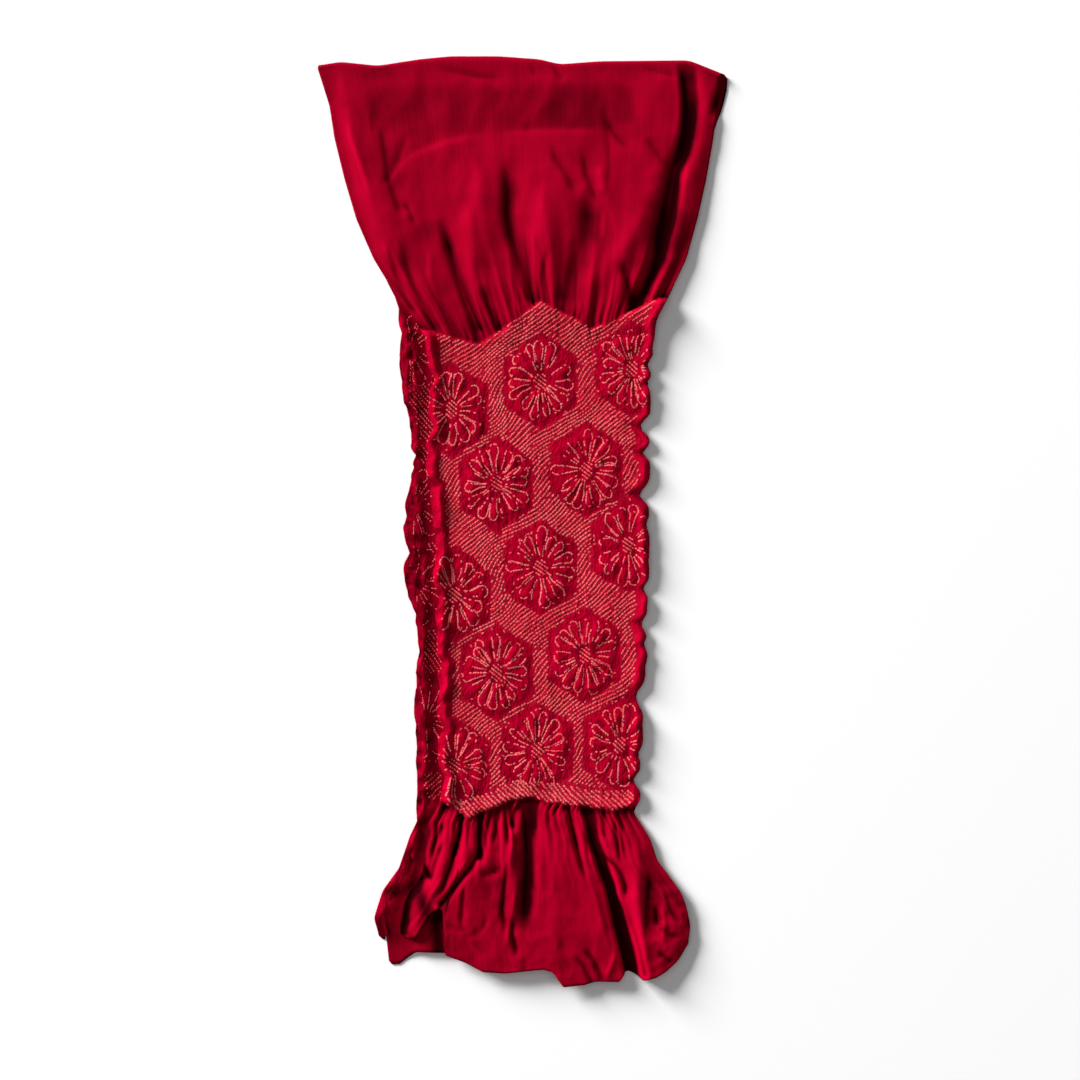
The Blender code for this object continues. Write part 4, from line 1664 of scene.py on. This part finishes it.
    def set_on_cloth(self, name: str, knots: list, scale: float = 1.0) -> bpy.types.Object:
        """Copies the dot to each knot, upright on the cloth there.

        Args:
            name: the joined piece's name.
            knots: where the dots stand.
            scale: the dots' size beside that of the band's dots.

        Returns:
            The joined dots.
        """
        places = to_metres(np.array([(knot.across, knot.down, 0.0) for knot in knots]))
        every_point, every_face, crown, pale = [], [], [], []
        down_ray = Vector((0.0, 0.0, -1.0))
        count = len(self.corners)
        sizes = scale * self.random.uniform(*self.size_spread, (len(knots), 3))
        for place, knot, size in zip(places, knots, sizes):
            hit, normal, _, _ = self.surface.ray_cast(Vector((place[0], place[1], 1.0)), down_ray)
            if hit is None:
                continue
            if normal.z < 0.0:
                normal = -normal
            run = Vector((knot.run_across, -knot.run_down, 0.0))
            run = (run - run.dot(normal) * normal).normalized()
            side = normal.cross(run)
            axes = np.array((run, side, normal))
            first = len(every_point) * count
            every_point.append((self.corners * size * MM) @ axes + np.array(hit))
            every_face += [tuple(first + corner for corner in facet) for facet in self.facets]
            crown.append(np.clip(self.corners[:, 2] / self.half_height, 0.0, 1.0))
            pale.append(np.full(count, knot.pale))
        mesh = bpy.data.meshes.new(name)
        mesh.from_pydata(np.concatenate(every_point).tolist(), [], every_face)
        mesh.update()
        mesh.shade_smooth()
        for label, values in (("crown", crown), ("pale", pale)):
            attribute = mesh.attributes.new(label, "FLOAT", "POINT")
            attribute.data.foreach_set("value", np.concatenate(values).astype(np.float32))
        dots = bpy.data.objects.new(name, mesh)
        bpy.context.collection.objects.link(dots)
        LOG.info("%s: %d dots", name, len(every_point))
        return dots

    def build(self) -> list:
        """Makes every group of dots.

        Returns:
            The joined dots of each group.
        """
        return [
            self.set_on_cloth("band_dots", self.band_knots()),
            self.set_on_cloth("border_dots", self.border_knots(), self.border_dot_size),
            self.set_on_cloth("flower_dots", self.flower_knots(), self.petal_dot_size),
            self.set_on_cloth("back_strip_dots", self.strip_knots(), self.strip_dot_size),
        ]


@dataclass(frozen=True)
class SilkFinish:
    """Red crepe silk: soft sheen, fine streaks along the warp and a crepe grain, its colour painted darker
    in hollows and folds as painted shade and paler on ridges as painted highlight.
    """

    name: str = "red_silk"
    # Base colours by painted depth: paler red on ridges as painted highlight, near black deep in folds as
    # painted shade
    painted_light_ramp: tuple = (
        (-2.0, (0.44, 0.0, 0.021, 1.0)),
        (0.0, (0.285, 0.0, 0.012, 1.0)),
        (1.0, (0.16, 0.0, 0.007, 1.0)),
        (2.6, (0.020, 0.0, 0.001, 1.0)),
    )
    band: tuple = (0.44, 0.006, 0.026, 1.0)
    band_share: float = 0.62
    streak_tone: float = 0.35
    roughness: float = 0.78
    specular: float = 0.04
    specular_tint: tuple = (1.0, 0.0, 0.10, 1.0)
    sheen: float = 0.06
    sheen_roughness: float = 0.5
    sheen_tint: tuple = (1.0, 0.0, 0.08, 1.0)
    roughness_spread: tuple = (-0.08, 0.10)
    pucker_height: float = 1.3

    def build(self) -> bpy.types.Material:
        """Makes the material.

        Returns:
            The material.
        """
        material = bpy.data.materials.new(self.name)
        material.use_nodes = True
        tree = material.node_tree
        shader = tree.nodes["Principled BSDF"]
        shader.inputs["Specular IOR Level"].default_value = self.specular
        shader.inputs["Specular Tint"].default_value = self.specular_tint
        shader.inputs["Sheen Weight"].default_value = self.sheen
        shader.inputs["Sheen Roughness"].default_value = self.sheen_roughness
        shader.inputs["Sheen Tint"].default_value = self.sheen_tint
        cloth = tree.nodes.new("ShaderNodeUVMap")
        cloth.uv_map = "cloth"
        grain = tree.nodes.new("ShaderNodeGroup")
        grain.node_tree = weave_group()
        tree.links.new(cloth.outputs["UV"], grain.inputs["Cloth"])

        # Painted shade and painted highlight, with random tone, read from the sheet's points
        painted_light_and_tone = tree.nodes.new("ShaderNodeAttribute")
        painted_light_and_tone.attribute_name = "painted_light_and_tone"
        # Warp streaks added to the painted shade value
        streaked = tree.nodes.new("ShaderNodeMath")
        streaked.operation = "MULTIPLY_ADD"
        streaked.inputs[1].default_value = self.streak_tone
        tree.links.new(grain.outputs["Streaks"], streaked.inputs[0])
        tree.links.new(painted_light_and_tone.outputs["Fac"], streaked.inputs[2])
        first, last = self.painted_light_ramp[0][0], self.painted_light_ramp[-1][0]
        depth = tree.nodes.new("ShaderNodeMapRange")
        depth.inputs["From Min"].default_value = first + 0.5 * self.streak_tone
        depth.inputs["From Max"].default_value = last + 0.5 * self.streak_tone
        tree.links.new(streaked.outputs["Value"], depth.inputs["Value"])
        ramp = tree.nodes.new("ShaderNodeValToRGB")
        while len(ramp.color_ramp.elements) < len(self.painted_light_ramp):
            ramp.color_ramp.elements.new(0.5)
        for element, (place, colour) in zip(ramp.color_ramp.elements, self.painted_light_ramp):
            element.position = (place - first) / (last - first)
            element.color = colour
        tree.links.new(depth.outputs["Result"], ramp.inputs["Fac"])
        tied = tree.nodes.new("ShaderNodeAttribute")
        tied.attribute_name = "tied"
        band = tree.nodes.new("ShaderNodeAttribute")
        band.attribute_name = "band"
        tint = tree.nodes.new("ShaderNodeMath")
        tint.operation = "MULTIPLY"
        tint.inputs[1].default_value = self.band_share
        tree.links.new(band.outputs["Fac"], tint.inputs[0])
        colour = mix_colour(tree, tint.outputs["Value"], ramp.outputs["Color"], self.band)
        tree.links.new(colour, shader.inputs["Base Color"])

        rough = tree.nodes.new("ShaderNodeMapRange")
        rough.inputs["To Min"].default_value = self.roughness + self.roughness_spread[0]
        rough.inputs["To Max"].default_value = self.roughness + self.roughness_spread[1]
        tree.links.new(grain.outputs["Streaks"], rough.inputs["Value"])
        tree.links.new(rough.outputs["Result"], shader.inputs["Roughness"])
        pucker = tree.nodes.new("ShaderNodeMath")
        pucker.operation = "MULTIPLY"
        tree.links.new(grain.outputs["Pucker"], pucker.inputs[0])
        tree.links.new(tied.outputs["Fac"], pucker.inputs[1])
        relief = tree.nodes.new("ShaderNodeMath")
        relief.operation = "MULTIPLY_ADD"
        tree.links.new(pucker.outputs["Value"], relief.inputs[0])
        relief.inputs[1].default_value = self.pucker_height
        tree.links.new(grain.outputs["Height"], relief.inputs[2])
        bump = tree.nodes.new("ShaderNodeBump")
        bump.inputs["Distance"].default_value = MM
        tree.links.new(relief.outputs["Value"], bump.inputs["Height"])
        tree.links.new(bump.outputs["Normal"], shader.inputs["Normal"])
        return material


@dataclass(frozen=True)
class DotFinish:
    """The tied dots, undyed at the crown and dyed towards the foot."""

    name: str = "tied_dots"
    foot: tuple = (0.44, 0.010, 0.028, 1.0)
    coral: tuple = (0.58, 0.050, 0.058, 1.0)
    pale: tuple = (0.69, 0.155, 0.15, 1.0)
    roughness: float = 0.78
    specular: float = 0.04

    def build(self) -> bpy.types.Material:
        """Makes the material.

        Returns:
            The material.
        """
        material = bpy.data.materials.new(self.name)
        material.use_nodes = True
        tree = material.node_tree
        shader = tree.nodes["Principled BSDF"]
        shader.inputs["Roughness"].default_value = self.roughness
        shader.inputs["Specular IOR Level"].default_value = self.specular
        pale = tree.nodes.new("ShaderNodeAttribute")
        pale.attribute_name = "pale"
        crown = tree.nodes.new("ShaderNodeAttribute")
        crown.attribute_name = "crown"
        undyed = mix_colour(tree, pale.outputs["Fac"], self.coral, self.pale)
        reach = tree.nodes.new("ShaderNodeMapRange")
        reach.inputs["From Min"].default_value = 0.0
        reach.inputs["From Max"].default_value = 0.5
        tree.links.new(crown.outputs["Fac"], reach.inputs["Value"])
        colour = mix_colour(tree, reach.outputs["Result"], self.foot, undyed)
        place = tree.nodes.new("ShaderNodeTexCoord")
        grain = tree.nodes.new("ShaderNodeGroup")
        grain.node_tree = weave_group()
        tree.links.new(place.outputs["Object"], grain.inputs["Cloth"])
        streaked = mix_colour(tree, grain.outputs["Streaks"], colour, undyed)
        tree.links.new(streaked, shader.inputs["Base Color"])
        bump = tree.nodes.new("ShaderNodeBump")
        bump.inputs["Distance"].default_value = MM
        tree.links.new(grain.outputs["Height"], bump.inputs["Height"])
        tree.links.new(bump.outputs["Normal"], shader.inputs["Normal"])
        return material


def mix_colour(
    tree: bpy.types.NodeTree,
    factor: bpy.types.NodeSocket,
    first: bpy.types.NodeSocket | tuple,
    second: bpy.types.NodeSocket | tuple,
) -> bpy.types.NodeSocket:
    """Mixes two colours, each a socket or a plain colour.

    Args:
        tree: the material's nodes.
        factor: the socket that says how much of the second shows.
        first: the first colour.
        second: the second colour.

    Returns:
        The mixed colour's socket.
    """
    mix = tree.nodes.new("ShaderNodeMix")
    mix.data_type = "RGBA"
    mix.clamp_factor = True
    tree.links.new(factor, mix.inputs["Factor"])
    for name, colour in (("A", first), ("B", second)):
        sockets = [socket for socket in mix.inputs if socket.name == name and socket.type == "RGBA"]
        if isinstance(colour, tuple):
            sockets[0].default_value = colour
        else:
            tree.links.new(colour, sockets[0])
    return [socket for socket in mix.outputs if socket.type == "RGBA"][0]


def weave_group() -> bpy.types.NodeTree:
    """Makes, once, the silk's grain: crepe, threads and streaks along the warp.

    Returns:
        The group, with outputs for streaks, height and pucker.
    """
    name = "silk_grain"
    if name in bpy.data.node_groups:
        return bpy.data.node_groups[name]
    group = bpy.data.node_groups.new(name, "ShaderNodeTree")
    group.interface.new_socket(name="Cloth", in_out="INPUT", socket_type="NodeSocketVector")
    group.interface.new_socket(name="Streaks", in_out="OUTPUT", socket_type="NodeSocketFloat")
    group.interface.new_socket(name="Height", in_out="OUTPUT", socket_type="NodeSocketFloat")
    group.interface.new_socket(name="Pucker", in_out="OUTPUT", socket_type="NodeSocketFloat")
    nodes, links = group.nodes, group.links
    cloth, out = nodes.new("NodeGroupInput"), nodes.new("NodeGroupOutput")

    def noise(across: float, along: float, detail: float) -> bpy.types.NodeSocket:
        """Adds noise to the group.

        Args:
            across: its cells in a metre across the cloth.
            along: its cells in a metre along the cloth.
            detail: how many finer layers it has.

        Returns:
            The noise's socket.
        """
        scaled = nodes.new("ShaderNodeMapping")
        scaled.inputs["Scale"].default_value = (across, along, across)
        links.new(cloth.outputs["Cloth"], scaled.inputs["Vector"])
        texture = nodes.new("ShaderNodeTexNoise")
        texture.inputs["Scale"].default_value = 1.0
        texture.inputs["Detail"].default_value = detail
        links.new(scaled.outputs["Vector"], texture.inputs["Vector"])
        return texture.outputs["Fac"]

    streaks = noise(760.0, 14.0, 3.0)
    spread = nodes.new("ShaderNodeMapRange")
    spread.inputs["From Min"].default_value = 0.33
    spread.inputs["From Max"].default_value = 0.67
    links.new(streaks, spread.inputs["Value"])
    links.new(spread.outputs["Result"], out.inputs["Streaks"])
    total = nodes.new("ShaderNodeMath")
    total.operation = "MULTIPLY_ADD"
    total.inputs[1].default_value = STREAK_HEIGHT
    crepe = nodes.new("ShaderNodeMath")
    crepe.operation = "MULTIPLY"
    crepe.inputs[1].default_value = CREPE_HEIGHT
    links.new(noise(1300.0, 1000.0, 2.0), crepe.inputs[0])
    links.new(streaks, total.inputs[0])
    links.new(crepe.outputs["Value"], total.inputs[2])
    links.new(total.outputs["Value"], out.inputs["Height"])
    links.new(noise(290.0, 260.0, 2.0), out.inputs["Pucker"])
    return group


@dataclass
class Studio:
    """The pale floor, the soft lights and the camera straight above."""

    frame_width: float = 0.7992
    camera_height: float = 2.2
    look_at: tuple = (0.0127, -0.0140)
    sensor_width: float = 36.0
    view_reach: float = 20.0
    floor_size: float = 6.0
    floor_level: float = -0.0002
    floor_colour: tuple = (0.95, 0.95, 0.95, 1.0)
    key_azimuth: float = 142.0
    key_elevation: float = 21.0
    key_distance: float = 14.0
    key_size: float = 6.0
    key_power: float = 4720.0
    fill_height: float = 3.0
    fill_size: float = 3.0
    fill_power: float = 18.0
    world_strength: float = 0.115

    def build(self) -> None:
        """Sets up the studio."""
        self.add_floor()
        azimuth, elevation = math.radians(self.key_azimuth), math.radians(self.key_elevation)
        toward = Vector(
            (
                math.cos(azimuth) * math.cos(elevation),
                math.sin(azimuth) * math.cos(elevation),
                math.sin(elevation),
            )
        )
        self.add_light("key_light", toward * self.key_distance, self.key_size, self.key_power)
        above = Vector((0.0, 0.0, self.fill_height))
        self.add_light("fill_light", above, self.fill_size, self.fill_power)
        world = bpy.data.worlds.new("studio_air")
        bpy.context.scene.world = world
        world.use_nodes = True
        world.node_tree.nodes["Background"].inputs["Color"].default_value = (1.0, 1.0, 1.0, 1.0)
        world.node_tree.nodes["Background"].inputs["Strength"].default_value = self.world_strength
        bpy.context.scene.view_settings.view_transform = "Standard"
        self.add_camera()

    def add_floor(self) -> None:
        """Lays the floor with its edges far outside the view."""
        bpy.ops.object.select_all(action="DESELECT")
        place = (0.0, 0.0, self.floor_level)
        bpy.ops.mesh.primitive_plane_add(size=self.floor_size, location=place)
        floor = bpy.context.active_object
        floor.name = "studio_floor"
        material = bpy.data.materials.new("floor_white")
        material.use_nodes = True
        shader = material.node_tree.nodes["Principled BSDF"]
        shader.inputs["Base Color"].default_value = self.floor_colour
        shader.inputs["Roughness"].default_value = 0.9
        shader.inputs["Specular IOR Level"].default_value = 0.1
        floor.data.materials.append(material)

    @staticmethod
    def add_light(name: str, place: Vector, size: float, power: float) -> None:
        """Adds a square light that shines at the middle of the floor.

        Args:
            name: the light's name.
            place: where it hangs.
            size: the length of its sides in metres.
            power: its power in watts.
        """
        light = bpy.data.lights.new(name, "AREA")
        light.shape = "SQUARE"
        light.size = size
        light.energy = power
        lamp = bpy.data.objects.new(name, light)
        lamp.location = place
        lamp.rotation_euler = (-place).to_track_quat("-Z", "Y").to_euler()
        bpy.context.collection.objects.link(lamp)

    def add_camera(self) -> None:
        """Adds the camera, whose lens takes in the photograph's width at the cloth."""
        camera = bpy.data.cameras.new("camera")
        camera.sensor_width = self.sensor_width
        camera.lens = self.sensor_width * self.camera_height / self.frame_width
        camera.clip_end = self.view_reach
        lens = bpy.data.objects.new("camera", camera)
        lens.location = (*self.look_at, self.camera_height)
        bpy.context.collection.objects.link(lens)
        bpy.context.scene.camera = lens


def main() -> None:
    """Builds the sash and its surroundings."""
    logging.basicConfig(level=logging.INFO, format="%(name)s: %(message)s")
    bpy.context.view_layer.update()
    shape = Shape()
    sash = SashSheet(shape)
    sheet = sash.build()
    sheet.data.materials.append(SilkFinish().build())
    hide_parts("sash_cloth")
    LOG.info("%s: %d faces", sheet.name, len(sheet.data.polygons))
    pieces = TiedDots(shape, sheet).build()
    dot_finish = DotFinish().build()
    for dots in pieces:
        dots.data.materials.append(dot_finish)
    for piece in (sheet, *pieces):
        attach(piece, "root")
    Studio().build()


if __name__ == "__main__":
    main()
